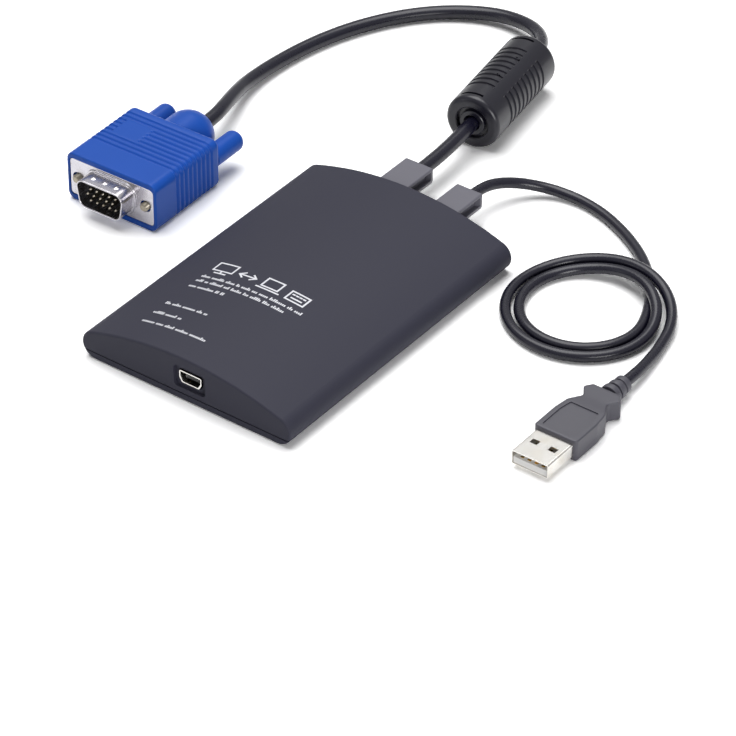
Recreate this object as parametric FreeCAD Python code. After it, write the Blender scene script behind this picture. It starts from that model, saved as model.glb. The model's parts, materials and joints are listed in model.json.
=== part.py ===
"""Crash cart adapter: a flat housing with a mini-USB socket at its front end, and at its back end a video
cable with a ferrite choke and a VGA plug, and a USB cable that lies in two loose turns to its plug.

Millimetres, +Z up. X runs across the housing, Y from its socket to its cables. The origin is the middle of
the housing's base. Both plugs are built about their own axis, with +Y towards the cable, and then laid down.
"""
import FreeCAD, Part
import math
import os

from FreeCAD import Vector

# Fits between pieces
FIT = 0.1                     # a piece that is dropped into another
RUNNING = 0.1                 # round a shaft that turns in its bore

# Housing
CASE_LENGTH = 104.0
CASE_WIDTH = 73.0
CASE_HEIGHT = 14.5            # at the crown of the arched top
CASE_NOSE = 4.6               # radius of the rounded long sides
CASE_WALL = 1.8
CASE_EDGE = 0.7               # rounding of the end faces' edges
CASE_SPLIT = 2.4              # height of the joint between the covers
SEAM_HEIGHT = 0.4             # groove that hides the joint
SEAM_DEPTH = 0.35
LIP_WIDTH = 1.0
LIP_RISE = 1.6                # how far the bottom cover's lip stands into the top cover

# Board and the screws that hold it between the covers
BOARD_SIDE_GAP = 4.7          # from the housing's inside to the board's long edges
BOARD_BACK_MARGIN = 1.0       # behind the wire headers
BOARD_THICKNESS = 1.6
STANDOFF_HEIGHT = 2.4
STANDOFF_RADIUS = 3.7
SCREW_INSET_X = 4.0           # from the board's long edge
SCREW_INSET_Y = 5.0           # from the board's short edge
SCREW_RADIUS = 1.2
SCREW_HEAD_RADIUS = 2.3
SCREW_HEAD_HEIGHT = 1.5
SCREW_HEAD_BEVEL = 0.6
SCREW_HEAD_SEAT = 2.3         # height of the face that the head bears on
SCREW_BITE = 3.2              # length of thread in the top cover
SCREW_SLOT_LENGTH = 2.8       # of the cross in the head
SCREW_SLOT_WIDTH = 0.6
SCREW_SLOT_DEPTH = 0.7

# Mini-USB socket
PORT_X = 1.8                  # from the middle of the housing
PORT_WIDTH = 7.7
PORT_HEIGHT = 3.9
PORT_FOOT_WIDTH = 5.9         # the narrower lower side
PORT_SHOULDER = 1.5           # height of the lower side's slanted corners
PORT_CORNER = 0.5
PORT_DEPTH = 9.2
PORT_SHEET = 0.35
PORT_SETBACK = 0.5            # of the shell's rim behind the housing's front face
PORT_TONGUE_WIDTH = 4.6
PORT_TONGUE_THICKNESS = 1.0
PORT_TONGUE_LENGTH = 5.4
PORT_TONGUE_SETBACK = 1.0     # of the tongue's tip behind the shell's rim
PORT_CONTACTS = 5
PORT_CONTACT_PITCH = 0.8
PORT_CONTACT_WIDTH = 0.4
PORT_CONTACT_LENGTH = 4.9
CONTACT_THICKNESS = 0.15
PORT_RECESS_WIDTH = 11.0
PORT_RECESS_HEIGHT = 7.0
PORT_RECESS_DEPTH = 1.0
PORT_RECESS_CORNER = 1.2

# Parts on the board: width, length and height, and where each stands
VIDEO_CHIP = (14.0, 14.0, 1.5)
VIDEO_CHIP_AT = (-8.0, 10.0)
BRIDGE_CHIP = (10.0, 10.0, 1.3)
BRIDGE_CHIP_AT = (8.0, -18.0)
MEMORY_CHIP = (10.2, 18.4, 1.1)
MEMORY_CHIP_AT = (14.0, 8.0)
CHIP_BEVEL = 0.3
CRYSTAL = (11.0, 4.6, 3.2)
CRYSTAL_AT = (-12.0, -14.0)
CRYSTAL_CORNER = 2.1
CAPACITOR_RADIUS = 2.0
CAPACITOR_HEIGHT = 4.6
CAPACITOR_COUNT = 3
CAPACITOR_PITCH = 6.0
CAPACITOR_X = 17.0
CAPACITOR_INSET = 15.0        # of the first one behind the board's front edge
HEADER_DEPTH = 5.0
HEADER_HEIGHT = 4.6
HEADER_WALL = 0.8
HEADER_MOUTH = 2.5            # depth of the open back

# Cable boots at the back end: where each stands, its size, and the wires that it brings in
BOOT_AXIS_Z = 8.0
BOOT_HEIGHT = 6.0
BOOT_TOP_CORNER = 0.7
BOOT_FOOT_CORNER = 1.9
BOOT_END_EDGE = 0.55          # rounding of the free end
BOOT_NECK_STEP = 0.9          # the neck in the wall is this much smaller on each side
BOOT_WING = 1.6               # the inner end is this much wider than the neck on each side
BOOT_WING_LENGTH = 2.0
BOOT_GRIP_DEPTH = 1.6         # hollow in each side for the fingers
BOOT_GRIP_LIP = 0.8           # left above the hollow
BOOT_GRIP_FOOT = 2.2          # left below it
BOOT_GRIP_RIM = 1.2           # left at the free end
BOOT_GRIP_RAMP = 1.0          # length of the hollow's sloped end
VGA_BOOT_X = -8.0
VGA_BOOT_WIDTH = 10.0
VGA_BOOT_REACH = 16.0
VGA_WIRE_COUNT = 6
USB_BOOT_X = 11.5
USB_BOOT_WIDTH = 9.2
USB_BOOT_REACH = 14.0
USB_WIRE_COUNT = 4
WIRE_RADIUS = 0.5
WIRE_PITCH = 1.4
WIRE_LENGTH = 5.0

# Cables
VGA_CABLE_DIAMETER = 4.4
USB_CABLE_DIAMETER = 3.3
CABLE_LEAD = 5.0              # straight length at each end

# Ferrite choke, on the floor beside the housing
FERRITE_X = -13.1
FERRITE_Y = 116.5
FERRITE_YAW = 9.0             # degrees from +Y towards -X
FERRITE_LENGTH = 40.0
FERRITE_RADIUS = 8.75
FERRITE_EDGE = 1.6
FERRITE_FIELDS = 2            # of rings, with a smooth band between them
FERRITE_RINGS = 9
FERRITE_RING_PITCH = 2.7
FERRITE_RING_WIDTH = 1.1
FERRITE_RING_DEPTH = 0.45
FERRITE_BAND = 28.0           # degrees of each smooth band
FERRITE_BAND_TILT = 58.0      # degrees of the upper smooth band from +X towards +Z
FERRITE_CABLE_GAP = 0.45      # between the bore and the cable
FERRITE_BOSS_WALL = 1.4       # ring round the bore at each end
FERRITE_CUP_WIDTH = 1.15      # recess round that ring
FERRITE_CUP_DEPTH = 1.4
FERRITE_SLOT_WIDTH = 0.9
FERRITE_SLOT_GAP = 5.0        # degrees from the smooth band
FERRITE_SLOT_ANGLE = 50.0
FERRITE_SLOT_INSET = 2.9
FERRITE_SLOT_DEPTH = 1.0
FERRITE_WALL = 2.1            # of the cover round the core
FERRITE_END_WALL = 4.5

# VGA plug
VGA_X = -73.1                 # middle of the hood's front face
VGA_Y = 5.35
VGA_YAW = 1.0                 # degrees from +Y towards -X
HOOD_SIDE_RIM = 0.9           # of the hood round the metal flange
HOOD_FACE_RIM = 1.8
HOOD_LENGTH = 30.6
HOOD_CORNER = 2.6
HOOD_REAR_EDGE = 1.4
GROOVE_COUNT = 9
GROOVE_START = 9.8            # from the front face to the first groove
GROOVE_PITCH = 2.05
GROOVE_WIDTH = 0.85
GROOVE_DEPTH = 0.5
PANEL_FIRST, PANEL_LAST = 3, 6    # grooves that stop at the smooth thumb panel
PANEL_LEFT = 4.2              # from the hood's left side
PANEL_WIDTH = 9.7
DOME_RADIUS = 7.9
DOME_CENTRE = 5.8             # behind the hood
DOME_MOUTH_RIM = 0.7          # flat ring round the cable
FLANGE_EAR = 2.9              # from a thumbscrew's axis to the flange's end
FLANGE_HEIGHT = 12.5
FLANGE_CORNER = 1.3
FLANGE_THICKNESS = 0.8
FLANGE_SETBACK = 0.2
FLANGE_HOLE_GAP = 0.48        # round a thumbscrew's shaft
D_WIDTH = 16.92               # inside of the skirt, at its wide side
D_HEIGHT = 8.36
D_SLANT = 10.0                # degrees of each short side
D_CORNER = 2.2
D_SHEET = 0.5
D_REACH = 5.9
D_FOOT_STEP = 0.7             # raised foot round the skirt
D_FOOT_RISE = 0.5
DIMPLES = 3
DIMPLE_PITCH = 4.2
DIMPLE_RADIUS = 0.8
DIMPLE_PROUD = 0.3
INSULATOR_REAR = 7.5          # behind the flange's front
PIN_ROWS = 3
PINS_PER_ROW = 5
PIN_PITCH = 2.29
PIN_ROW_PITCH = 1.98
PIN_RADIUS = 0.38
PIN_REACH = 5.0
PIN_POINT = 0.3

# Thumbscrews of the VGA plug
JACKSCREW_SPACING = 24.99
SHAFT_RADIUS = 1.42
SHAFT_PROUD = 1.2             # of the tip before the hood's front face
SHAFT_POINT = 0.5
SHAFT_IN_KNOB = 8.0
KNOB_RADIUS = 3.3
KNOB_LENGTH = 13.2
KNOB_END = 2.2                # rounding of the free end
KNOB_BEVEL = 0.4              # at the hood
KNOB_GAP = 0.3                # between the knob and the hood

# USB plug
USB_X = 94.4                  # middle of the grip's front face
USB_Y = -10.3
USB_SHELL_WIDTH = 12.0
USB_SHELL_HEIGHT = 4.5
USB_SHELL_CORNER = 0.55
USB_SHELL_SHEET = 0.3
USB_SHELL_REACH = 11.75
USB_SHELL_IN_GRIP = 6.0
USB_WINDOW_WIDTH = 2.4
USB_WINDOW_LENGTH = 1.9
USB_WINDOW_SPACING = 5.9
USB_WINDOW_FROM_RIM = 6.6
USB_INSERT_THICKNESS = 1.95
USB_INSERT_SETBACK = 0.4
USB_CONTACTS = 4
USB_CONTACT_PITCH = 2.25
USB_CONTACT_WIDTH = 1.0
USB_CONTACT_LENGTH = 7.4
USB_CONTACT_SETBACK = 0.8     # behind the insert's front
GRIP_HEIGHT = 6.8
GRIP_WIDTH = 14.0
GRIP_CORNER = 1.0             # of the plan at the front
GRIP_BLOCK = 10.0             # length of the parallel front block
GRIP_SHOULDER = 15.0          # where the taper ends
GRIP_SHOULDER_WIDTH = 12.6
GRIP_BLOCK_BEND = 6.0         # radii of the plan's bends, front to back
GRIP_SHOULDER_BEND = 2.2
GRIP_WAIST_BEND = 1.8
GRIP_EAR_BEND = 0.8
GRIP_WAIST = 19.2
GRIP_WAIST_WIDTH = 7.6
GRIP_EAR = 22.6
GRIP_EAR_WIDTH = 12.4
GRIP_END = 25.0
GRIP_END_WIDTH = 9.0
GRIP_REAR_HEIGHT = 6.2        # at the ears
GRIP_SIDE_BEND = 8.0          # radius where the top slopes to the ears
GRIP_PANEL_INSET = 1.7
GRIP_PANEL_CORNER = 0.5
GRIP_PANEL_START = 1.5
GRIP_PANEL_DEPTH = 0.35
RELIEF_RINGS = 3
RELIEF_PITCH = 2.8
RELIEF_RING_LENGTH = 1.9
RELIEF_RING_BEVEL = 0.35
RELIEF_RADIUS = 3.2
RELIEF_TAPER = 0.3            # each ring is smaller than the one before
RELIEF_CORE_RADIUS = 2.2

# Loose turns of the USB cable
COIL_X = 65.5
COIL_Y = 46.8
COIL_START_RADIUS = 17.4
COIL_GROWTH = 4.1             # per turn
COIL_DRAW_IN = 1.6            # how much nearer to the middle a turn runs where it is raised
COIL_START_ANGLE = 11.9
COIL_STEP = 24.62             # degrees between points, which then stand on both sides of a crossing
COIL_POINTS = 30
COIL_CROSSINGS = (-295.8, -640.5)    # where a turn passes over the incoming lead
COIL_HUMP = 3.5
COIL_HUMP_SLOPE = 0.4         # share of the hump that is lost in one step
FLOOR_GAP = 0.05              # between the lying cable and the floor

os.makedirs("parts", exist_ok=True)

# Levels and places that follow from the sizes above
case_back = CASE_LENGTH / 2
case_front = -case_back
board_under = CASE_WALL + STANDOFF_HEIGHT
board_top = board_under + BOARD_THICKNESS
boot_inner_end = case_back - CASE_WALL - BOOT_WING_LENGTH
header_back = boot_inner_end - WIRE_LENGTH
port_front = case_front + PORT_SETBACK
port_middle_z = board_top + PORT_HEIGHT / 2
board_side = CASE_WIDTH / 2 - CASE_WALL - BOARD_SIDE_GAP
board_front = case_front + CASE_WALL + LIP_WIDTH + 2 * FIT
board_back = header_back + BOARD_BACK_MARGIN
screw_x = board_side - SCREW_INSET_X
screw_ys = (board_front + SCREW_INSET_Y, board_back - SCREW_INSET_Y)
flange_width = JACKSCREW_SPACING + 2 * FLANGE_EAR
hood_width = flange_width + 2 * (FIT + HOOD_SIDE_RIM)
hood_height = FLANGE_HEIGHT + 2 * (FIT + HOOD_FACE_RIM)
vga_axis_z = hood_height / 2
dome_mouth = VGA_CABLE_DIAMETER / 2 + DOME_MOUTH_RIM
dome_end = HOOD_LENGTH + DOME_CENTRE + math.sqrt(DOME_RADIUS ** 2 - dome_mouth ** 2)
usb_axis_z = GRIP_HEIGHT / 2
relief_end = GRIP_END + RELIEF_RINGS * RELIEF_PITCH
ferrite_bore = VGA_CABLE_DIAMETER / 2 + FERRITE_CABLE_GAP
core_radius = FERRITE_RADIUS - FERRITE_WALL
core_half = FERRITE_LENGTH / 2 - FERRITE_END_WALL


def export(name, shape):
    """Writes one piece as its own file."""
    shape.exportStep("parts/" + name + ".step")
    print(name, "solids", len(shape.Solids), "valid", shape.isValid(), "volume", round(shape.Volume, 1))


def block(x, y, z):
    """A box between pairs of limits."""
    return Part.makeBox(x[1] - x[0], y[1] - y[0], z[1] - z[0], Vector(x[0], y[0], z[0]))


def rod(radius, start, end, x=0.0, z=0.0):
    """A cylinder along Y."""
    return Part.makeCylinder(radius, end - start, Vector(x, start, z), Vector(0, 1, 0))


def post(radius, bottom, top, x, y):
    """A cylinder along Z."""
    return Part.makeCylinder(radius, top - bottom, Vector(x, y, bottom))


def rounded_wire(corners):
    """A closed wire in the XY plane through corners (x, y, radius), each rounded by its radius."""
    entries, exits, middles = [], [], []
    for i, (x, y, radius) in enumerate(corners):
        here = Vector(x, y, 0)
        before = Vector(*corners[i - 1][:2], 0) - here
        after = Vector(*corners[(i + 1) % len(corners)][:2], 0) - here
        before.normalize()
        after.normalize()
        half = before.getAngle(after) / 2
        reach = radius / math.tan(half)
        bisector = (before + after).normalize()
        entries.append(here + before * reach)
        exits.append(here + after * reach)
        middles.append(here + bisector * (radius / math.sin(half) - radius))
    edges = []
    for i, corner in enumerate(corners):
        if corner[2] > 0:
            edges.append(Part.Arc(entries[i], middles[i], exits[i]).toShape())
        end = entries[(i + 1) % len(corners)]
        if exits[i].distanceToPoint(end) > 1e-6:
            edges.append(Part.LineSegment(exits[i], end).toShape())
    return Part.Wire(edges)


def section_bar(corners, start, end, x=0.0, z=0.0):
    """A bar along Y whose section has corners (x, z, radius)."""
    face = Part.Face(rounded_wire(corners))
    face.rotate(Vector(), Vector(1, 0, 0), 90)
    face.translate(Vector(x, start, z))
    return face.extrude(Vector(0, end - start, 0))


def plan_slab(corners, bottom, top):
    """A slab whose plan has corners (x, y, radius)."""
    face = Part.Face(rounded_wire(corners))
    face.translate(Vector(0, 0, bottom))
    return face.extrude(Vector(0, 0, top - bottom))


def rectangle(width, height, top_corner, foot_corner=None):
    """Corners of an upright rectangle round the origin."""
    foot = top_corner if foot_corner is None else foot_corner
    w, h = width / 2, height / 2
    return [(-w, -h, foot), (w, -h, foot), (w, h, top_corner), (-w, h, top_corner)]


def mirrored_plan(half):
    """A closed plan from the corners (x, y, radius) of its right half, front to back."""
    return half + [(-x, y, radius) for x, y, radius in reversed(half)]


def turned(profile, axis_x=0.0, axis_z=0.0):
    """A solid turned about an axis along Y from (radius, y) points that start and end on the axis."""
    points = [Vector(axis_x + radius, y, axis_z) for radius, y in profile]
    face = Part.Face(Part.makePolygon(points + points[:1]))
    return face.revolve(Vector(axis_x, 0, axis_z), Vector(0, 1, 0), 360)


def laid(shape, x, y, z, yaw=0.0):
    """A plug's piece turned about +Z and set down with its reference point at (x, y, z)."""
    piece = shape.copy()
    piece.rotate(Vector(), Vector(0, 0, 1), yaw)
    piece.translate(Vector(x, y, z))
    return piece


# Housing

def case_section(inset, start, end):
    """The housing's outline, inset by a wall: flat base, round noses and an arched top tangent to them."""
    nose_x, nose_z = CASE_WIDTH / 2 - CASE_NOSE, CASE_NOSE
    drop = CASE_HEIGHT - nose_z
    crown = (nose_x ** 2 + drop ** 2 - CASE_NOSE ** 2) / (2 * (drop - CASE_NOSE))
    centre = Vector(0, 0, CASE_HEIGHT - crown)
    touch = math.atan2(nose_z - centre.z, nose_x)
    nose, arch = CASE_NOSE - inset, crown - inset

    def on_nose(side, angle):
        return Vector(side * (nose_x + nose * math.cos(angle)), start, nose_z + nose * math.sin(angle))

    def side_arc(side):
        return Part.Arc(on_nose(side, -math.pi / 2), on_nose(side, (touch - math.pi / 2) / 2),
                        on_nose(side, touch)).toShape()

    top = Part.Arc(on_nose(1, touch), Vector(0, start, centre.z + arch), on_nose(-1, touch)).toShape()
    base = Part.LineSegment(on_nose(-1, -math.pi / 2), on_nose(1, -math.pi / 2)).toShape()
    face = Part.Face(Part.Wire([base, side_arc(1), top, side_arc(-1)]))
    return face.extrude(Vector(0, end - start, 0))


def case_half(above):
    """Everything above or below the joint between the covers."""
    spread = CASE_WIDTH + CASE_LENGTH
    levels = (CASE_SPLIT, spread) if above else (-spread, CASE_SPLIT)
    return block((-spread, spread), (-spread, spread), levels)


def housing():
    """The whole outside with rounded end edges, and a groove round the joint between the covers."""
    body = case_section(0, case_front, case_back)
    ends = [e for e in body.Edges if e.BoundBox.YLength < FIT]
    body = body.makeFillet(CASE_EDGE, ends)
    spread = CASE_WIDTH + CASE_LENGTH
    levels = (CASE_SPLIT - SEAM_HEIGHT / 2, CASE_SPLIT + SEAM_HEIGHT / 2)
    seam = block((-spread, spread), (-spread, spread), levels)
    inside = case_section(SEAM_DEPTH, case_front + SEAM_DEPTH, case_back - SEAM_DEPTH)
    return body.cut(seam.cut(inside))


case_solid = housing()
case_cavity = case_section(CASE_WALL, case_front + CASE_WALL, case_back - CASE_WALL)
screw_places = [(sx * screw_x, y) for sx in (-1, 1) for y in screw_ys]
boots = [(VGA_BOOT_X, VGA_BOOT_WIDTH), (USB_BOOT_X, USB_BOOT_WIDTH)]


def boot_notch(x, width, bottom, top, gap):
    """The space of a boot's neck in the back wall, with a gap round it."""
    half = width / 2 - BOOT_NECK_STEP + gap
    return block((x - half, x + half), (case_back - CASE_WALL, case_back), (bottom, top))


boot_neck_top = BOOT_AXIS_Z + BOOT_HEIGHT / 2 - BOOT_NECK_STEP
boot_neck_foot = BOOT_AXIS_Z - BOOT_HEIGHT / 2 + BOOT_NECK_STEP


def port_outline(grow):
    """Corners of the mini-USB socket's section round its middle: a wide top over a narrower foot."""
    w, h = PORT_WIDTH / 2 + grow, PORT_HEIGHT / 2 + grow
    foot = PORT_FOOT_WIDTH / 2 + grow
    shoulder = -h + PORT_SHOULDER
    corner = PORT_CORNER + grow
    return [(-foot, -h, corner), (foot, -h, corner), (w, shoulder, corner), (w, h, corner), (-w, h, corner),
            (-w, shoulder, corner)]


def top_cover():
    cover = case_solid.common(case_half(True))
    screw_tip = board_top + SCREW_BITE
    bosses = [post(STANDOFF_RADIUS, board_top, CASE_HEIGHT, x, y).common(case_solid) for x, y in screw_places]
    shell = cover.cut(case_cavity).fuse(bosses)
    cuts = [post(SCREW_RADIUS, board_top, screw_tip + FIT, x, y) for x, y in screw_places]
    cuts += [boot_notch(x, width, CASE_SPLIT, boot_neck_top + FIT, FIT) for x, width in boots]
    recess = rectangle(PORT_RECESS_WIDTH, PORT_RECESS_HEIGHT, PORT_RECESS_CORNER)
    cuts.append(section_bar(recess, case_front, case_front + PORT_RECESS_DEPTH, PORT_X, port_middle_z))
    cuts.append(section_bar(port_outline(3 * FIT), case_front, case_front + CASE_WALL, PORT_X, port_middle_z))
    return shell.cut(cuts).removeSplitter()


def bottom_cover():
    tray = case_solid.common(case_half(False)).cut(case_cavity)
    bulge = math.sqrt((CASE_NOSE - CASE_WALL) ** 2 - (CASE_NOSE - CASE_SPLIT) ** 2)
    side = CASE_WIDTH / 2 - CASE_NOSE + bulge
    outer_x, outer_y = side - FIT, case_back - CASE_WALL - FIT
    levels = (CASE_WALL, CASE_SPLIT + LIP_RISE)
    lip = block((-outer_x, outer_x), (-outer_y, outer_y), levels)
    inner_x, inner_y = outer_x - LIP_WIDTH, outer_y - LIP_WIDTH
    lip = lip.cut(block((-inner_x, inner_x), (-inner_y, inner_y), levels))
    tabs = [boot_notch(x, width, CASE_SPLIT, boot_neck_foot - FIT, 0) for x, width in boots]
    standoffs = [post(STANDOFF_RADIUS, CASE_WALL, board_under, x, y) for x, y in screw_places]
    cover = tray.fuse([lip] + tabs + standoffs)
    holes = [post(SCREW_RADIUS + 2 * FIT, 0, board_under, x, y) for x, y in screw_places]
    heads = [post(SCREW_HEAD_RADIUS + 2 * FIT, 0, SCREW_HEAD_SEAT, x, y) for x, y in screw_places]
    return cover.cut(holes + heads).removeSplitter()


def case_screws():
    screws = []
    face = SCREW_HEAD_SEAT - SCREW_HEAD_HEIGHT
    long, short = SCREW_SLOT_LENGTH / 2, SCREW_SLOT_WIDTH / 2
    for x, y in screw_places:
        head = post(SCREW_HEAD_RADIUS, face, SCREW_HEAD_SEAT, x, y)
        head = head.makeChamfer(SCREW_HEAD_BEVEL, [e for e in head.Edges if e.BoundBox.ZMax < face + FIT])
        cross = [block((x - a, x + a), (y - b, y + b), (face, face + SCREW_SLOT_DEPTH))
                 for a, b in ((long, short), (short, long))]
        shank = post(SCREW_RADIUS, SCREW_HEAD_SEAT, board_top + SCREW_BITE, x, y)
        screws.append(head.cut(cross).fuse(shank).removeSplitter())
    return Part.makeCompound(screws)


# Board

def main_board():
    board = block((-board_side, board_side), (board_front, board_back), (board_under, board_top))
    return board.cut([post(SCREW_RADIUS + 2 * FIT, board_under, board_top, x, y) for x, y in screw_places])


def chip(size, place):
    """A moulded package with bevelled upper edges."""
    (w, l, h), (x, y) = size, place
    body = block((x - w / 2, x + w / 2), (y - l / 2, y + l / 2), (board_top, board_top + h))
    upper = [e for e in body.Edges if e.BoundBox.ZMin > board_top + h / 2]
    return body.makeChamfer(CHIP_BEVEL, upper)


def crystal_can():
    w, l, h = CRYSTAL
    can = plan_slab(rectangle(w, l, CRYSTAL_CORNER), board_top, board_top + h)
    return laid(can, *CRYSTAL_AT, 0)


def capacitors():
    first = board_front + CAPACITOR_INSET
    return Part.makeCompound([post(CAPACITOR_RADIUS, board_top, board_top + CAPACITOR_HEIGHT, CAPACITOR_X,
                                   first + i * CAPACITOR_PITCH) for i in range(CAPACITOR_COUNT)])


def wire_header(x, wires):
    """An open-backed plug housing that the cable's wires end in."""
    half = wires * WIRE_PITCH / 2 + HEADER_WALL
    body = block((x - half, x + half), (header_back - HEADER_DEPTH, header_back),
                 (board_top, board_top + HEADER_HEIGHT))
    inner = half - HEADER_WALL
    mouth = block((x - inner, x + inner), (header_back - HEADER_MOUTH, header_back),
                  (board_top + HEADER_WALL, board_top + HEADER_HEIGHT))
    return body.cut(mouth)


def wires(x, count):
    """The cable's wires, from the boot's inner end into the header."""
    row = []
    for i in range(count):
        wire_x = x + (i - (count - 1) / 2) * WIRE_PITCH
        row.append(rod(WIRE_RADIUS, header_back - HEADER_MOUTH, boot_inner_end, wire_x, BOOT_AXIS_Z))
    return Part.makeCompound(row)


# Mini-USB socket

def mini_usb_shell():
    tube = section_bar(port_outline(0), port_front, port_front + PORT_DEPTH, PORT_X, port_middle_z)
    hollow = section_bar(port_outline(-PORT_SHEET), port_front, port_front + PORT_DEPTH - PORT_SHEET, PORT_X,
                         port_middle_z)
    return tube.cut(hollow)


port_seat = port_front + PORT_DEPTH - PORT_SHEET
tongue_tip = port_front + PORT_TONGUE_SETBACK
tongue_root = tongue_tip + PORT_TONGUE_LENGTH
tongue_top = port_middle_z + PORT_TONGUE_THICKNESS / 2


def mini_usb_insert():
    heel = section_bar(port_outline(-PORT_SHEET - FIT), tongue_root, port_seat, PORT_X, port_middle_z)
    half = PORT_TONGUE_WIDTH / 2
    tongue = block((PORT_X - half, PORT_X + half), (tongue_tip, port_seat),
                   (tongue_top - PORT_TONGUE_THICKNESS, tongue_top))
    return heel.fuse(tongue).removeSplitter()


def mini_usb_contacts():
    strips = []
    for i in range(PORT_CONTACTS):
        x = PORT_X + (i - (PORT_CONTACTS - 1) / 2) * PORT_CONTACT_PITCH
        strips.append(block((x - PORT_CONTACT_WIDTH / 2, x + PORT_CONTACT_WIDTH / 2),
                            (tongue_root - PORT_CONTACT_LENGTH, tongue_root),
                            (tongue_top, tongue_top + CONTACT_THICKNESS)))
    return Part.makeCompound(strips)


# Cable boots

def cable_boot(x, width, reach):
    """A moulded boot: outer block with hollow sides, neck clamped in the back wall, and winged inner end."""
    outer = section_bar(rectangle(width, BOOT_HEIGHT, BOOT_TOP_CORNER, BOOT_FOOT_CORNER), case_back,
                        case_back + reach, x, BOOT_AXIS_Z)
    rear = [e for e in outer.Edges if e.BoundBox.YMin > case_back + reach - FIT]
    outer = outer.makeFillet(BOOT_END_EDGE, rear)
    outer = outer.cut([boot_grip(x, side * width / 2, reach) for side in (-1, 1)])
    neck = boot_notch(x, width, boot_neck_foot, boot_neck_top, 0)
    half = width / 2 - BOOT_NECK_STEP + BOOT_WING
    wings = block((x - half, x + half), (boot_inner_end, case_back - CASE_WALL),
                  (boot_neck_foot, boot_neck_top))
    return outer.fuse([neck, wings]).removeSplitter()


def boot_grip(x, side, reach):
    """What is hollow in one side of a boot. side is its distance from the boot's middle, left or right."""
    floor = side - math.copysign(BOOT_GRIP_DEPTH, side)
    end = case_back + reach - BOOT_GRIP_RIM
    plan = [(x + floor, case_back, 0), (x + side, case_back, 0), (x + side, end, 0),
            (x + floor, end - BOOT_GRIP_RAMP, 0)]
    under, over = BOOT_AXIS_Z - BOOT_HEIGHT / 2, BOOT_AXIS_Z + BOOT_HEIGHT / 2
    return plan_slab(plan, under + BOOT_GRIP_FOOT, over - BOOT_GRIP_LIP)


# Ferrite choke, built along +Y with its middle at the origin

def ferrite_cover():
    half = FERRITE_LENGTH / 2
    body = rod(FERRITE_RADIUS, -half, half)
    body = body.makeFillet(FERRITE_EDGE, [e for e in body.Edges if e.isClosed()])
    cuts = [rod(ferrite_bore, -half, half), rod(core_radius, -core_half, core_half)]
    boss = ferrite_bore + FERRITE_BOSS_WALL
    for start, end in ((-half, -half + FERRITE_CUP_DEPTH), (half - FERRITE_CUP_DEPTH, half)):
        cuts.append(rod(boss + FERRITE_CUP_WIDTH, start, end).cut(rod(boss, start, end)))
    first = -(FERRITE_RINGS - 1) / 2 * FERRITE_RING_PITCH
    slot_y = half - FERRITE_SLOT_INSET
    turn = 360 / FERRITE_FIELDS
    for k in range(FERRITE_FIELDS):
        field = FERRITE_BAND_TILT + k * turn + FERRITE_BAND / 2
        for i in range(FERRITE_RINGS):
            cuts.append(ring_cut(first + i * FERRITE_RING_PITCH, FERRITE_RING_WIDTH, FERRITE_RING_DEPTH,
                                 field, turn - FERRITE_BAND))
        for y in (-slot_y, slot_y):
            cuts.append(ring_cut(y, FERRITE_SLOT_WIDTH, FERRITE_SLOT_DEPTH, field + FERRITE_SLOT_GAP,
                                 FERRITE_SLOT_ANGLE))
    return body.cut(cuts).removeSplitter()


def ring_cut(y, width, depth, start_angle, sweep):
    """Part of a ring that is cut into the choke's outside, by angle from +X towards +Z."""
    inner, outer = FERRITE_RADIUS - depth, FERRITE_RADIUS + depth
    corners = [Vector(inner, y - width / 2, 0), Vector(outer, y - width / 2, 0),
               Vector(outer, y + width / 2, 0), Vector(inner, y + width / 2, 0)]
    face = Part.Face(Part.makePolygon(corners + corners[:1]))
    face.rotate(Vector(), Vector(0, -1, 0), start_angle)
    return face.revolve(Vector(), Vector(0, -1, 0), sweep)


def ferrite_core():
    return rod(core_radius, -core_half, core_half).cut(rod(ferrite_bore, -core_half, core_half))


# VGA plug, built with the middle of the hood's front face at the origin

screw_offsets = {"left": -JACKSCREW_SPACING / 2, "right": JACKSCREW_SPACING / 2}


def d_outline(grow):
    """Corners of the D-shaped skirt's inside, wide side up, grown by a wall."""
    w, h = D_WIDTH / 2 + grow, D_HEIGHT / 2 + grow
    foot = w - 2 * h * math.tan(math.radians(D_SLANT))
    corner = D_CORNER + grow
    return [(-foot, -h, corner), (foot, -h, corner), (w, h, corner), (-w, h, corner)]


def vga_hood():
    body = section_bar(rectangle(hood_width, hood_height, HOOD_CORNER), 0, HOOD_LENGTH)
    rear = [e for e in body.Edges if e.BoundBox.YMin > HOOD_LENGTH - FIT]
    body = body.makeFillet(HOOD_REAR_EDGE, rear)
    dome = Part.makeSphere(DOME_RADIUS, Vector(0, HOOD_LENGTH + DOME_CENTRE, 0))
    stem = rod(DOME_RADIUS, HOOD_LENGTH - HOOD_REAR_EDGE, HOOD_LENGTH + DOME_CENTRE)
    spread = 2 * DOME_RADIUS
    rear_half = block((-spread, spread), (HOOD_LENGTH + DOME_CENTRE, dome_end), (-spread, spread))
    body = body.fuse([stem, dome.common(rear_half)])
    cuts = grooves()
    flange = rectangle(flange_width + 2 * FIT, FLANGE_HEIGHT + 2 * FIT, FLANGE_CORNER)
    cuts.append(section_bar(flange, 0, FLANGE_SETBACK + FLANGE_THICKNESS))
    cuts.append(section_bar(d_outline(0), 0, FLANGE_SETBACK + INSULATOR_REAR))
    cuts += [rod(SHAFT_RADIUS + RUNNING, 0, HOOD_LENGTH, x) for x in screw_offsets.values()]
    return body.cut(cuts).removeSplitter()


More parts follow.
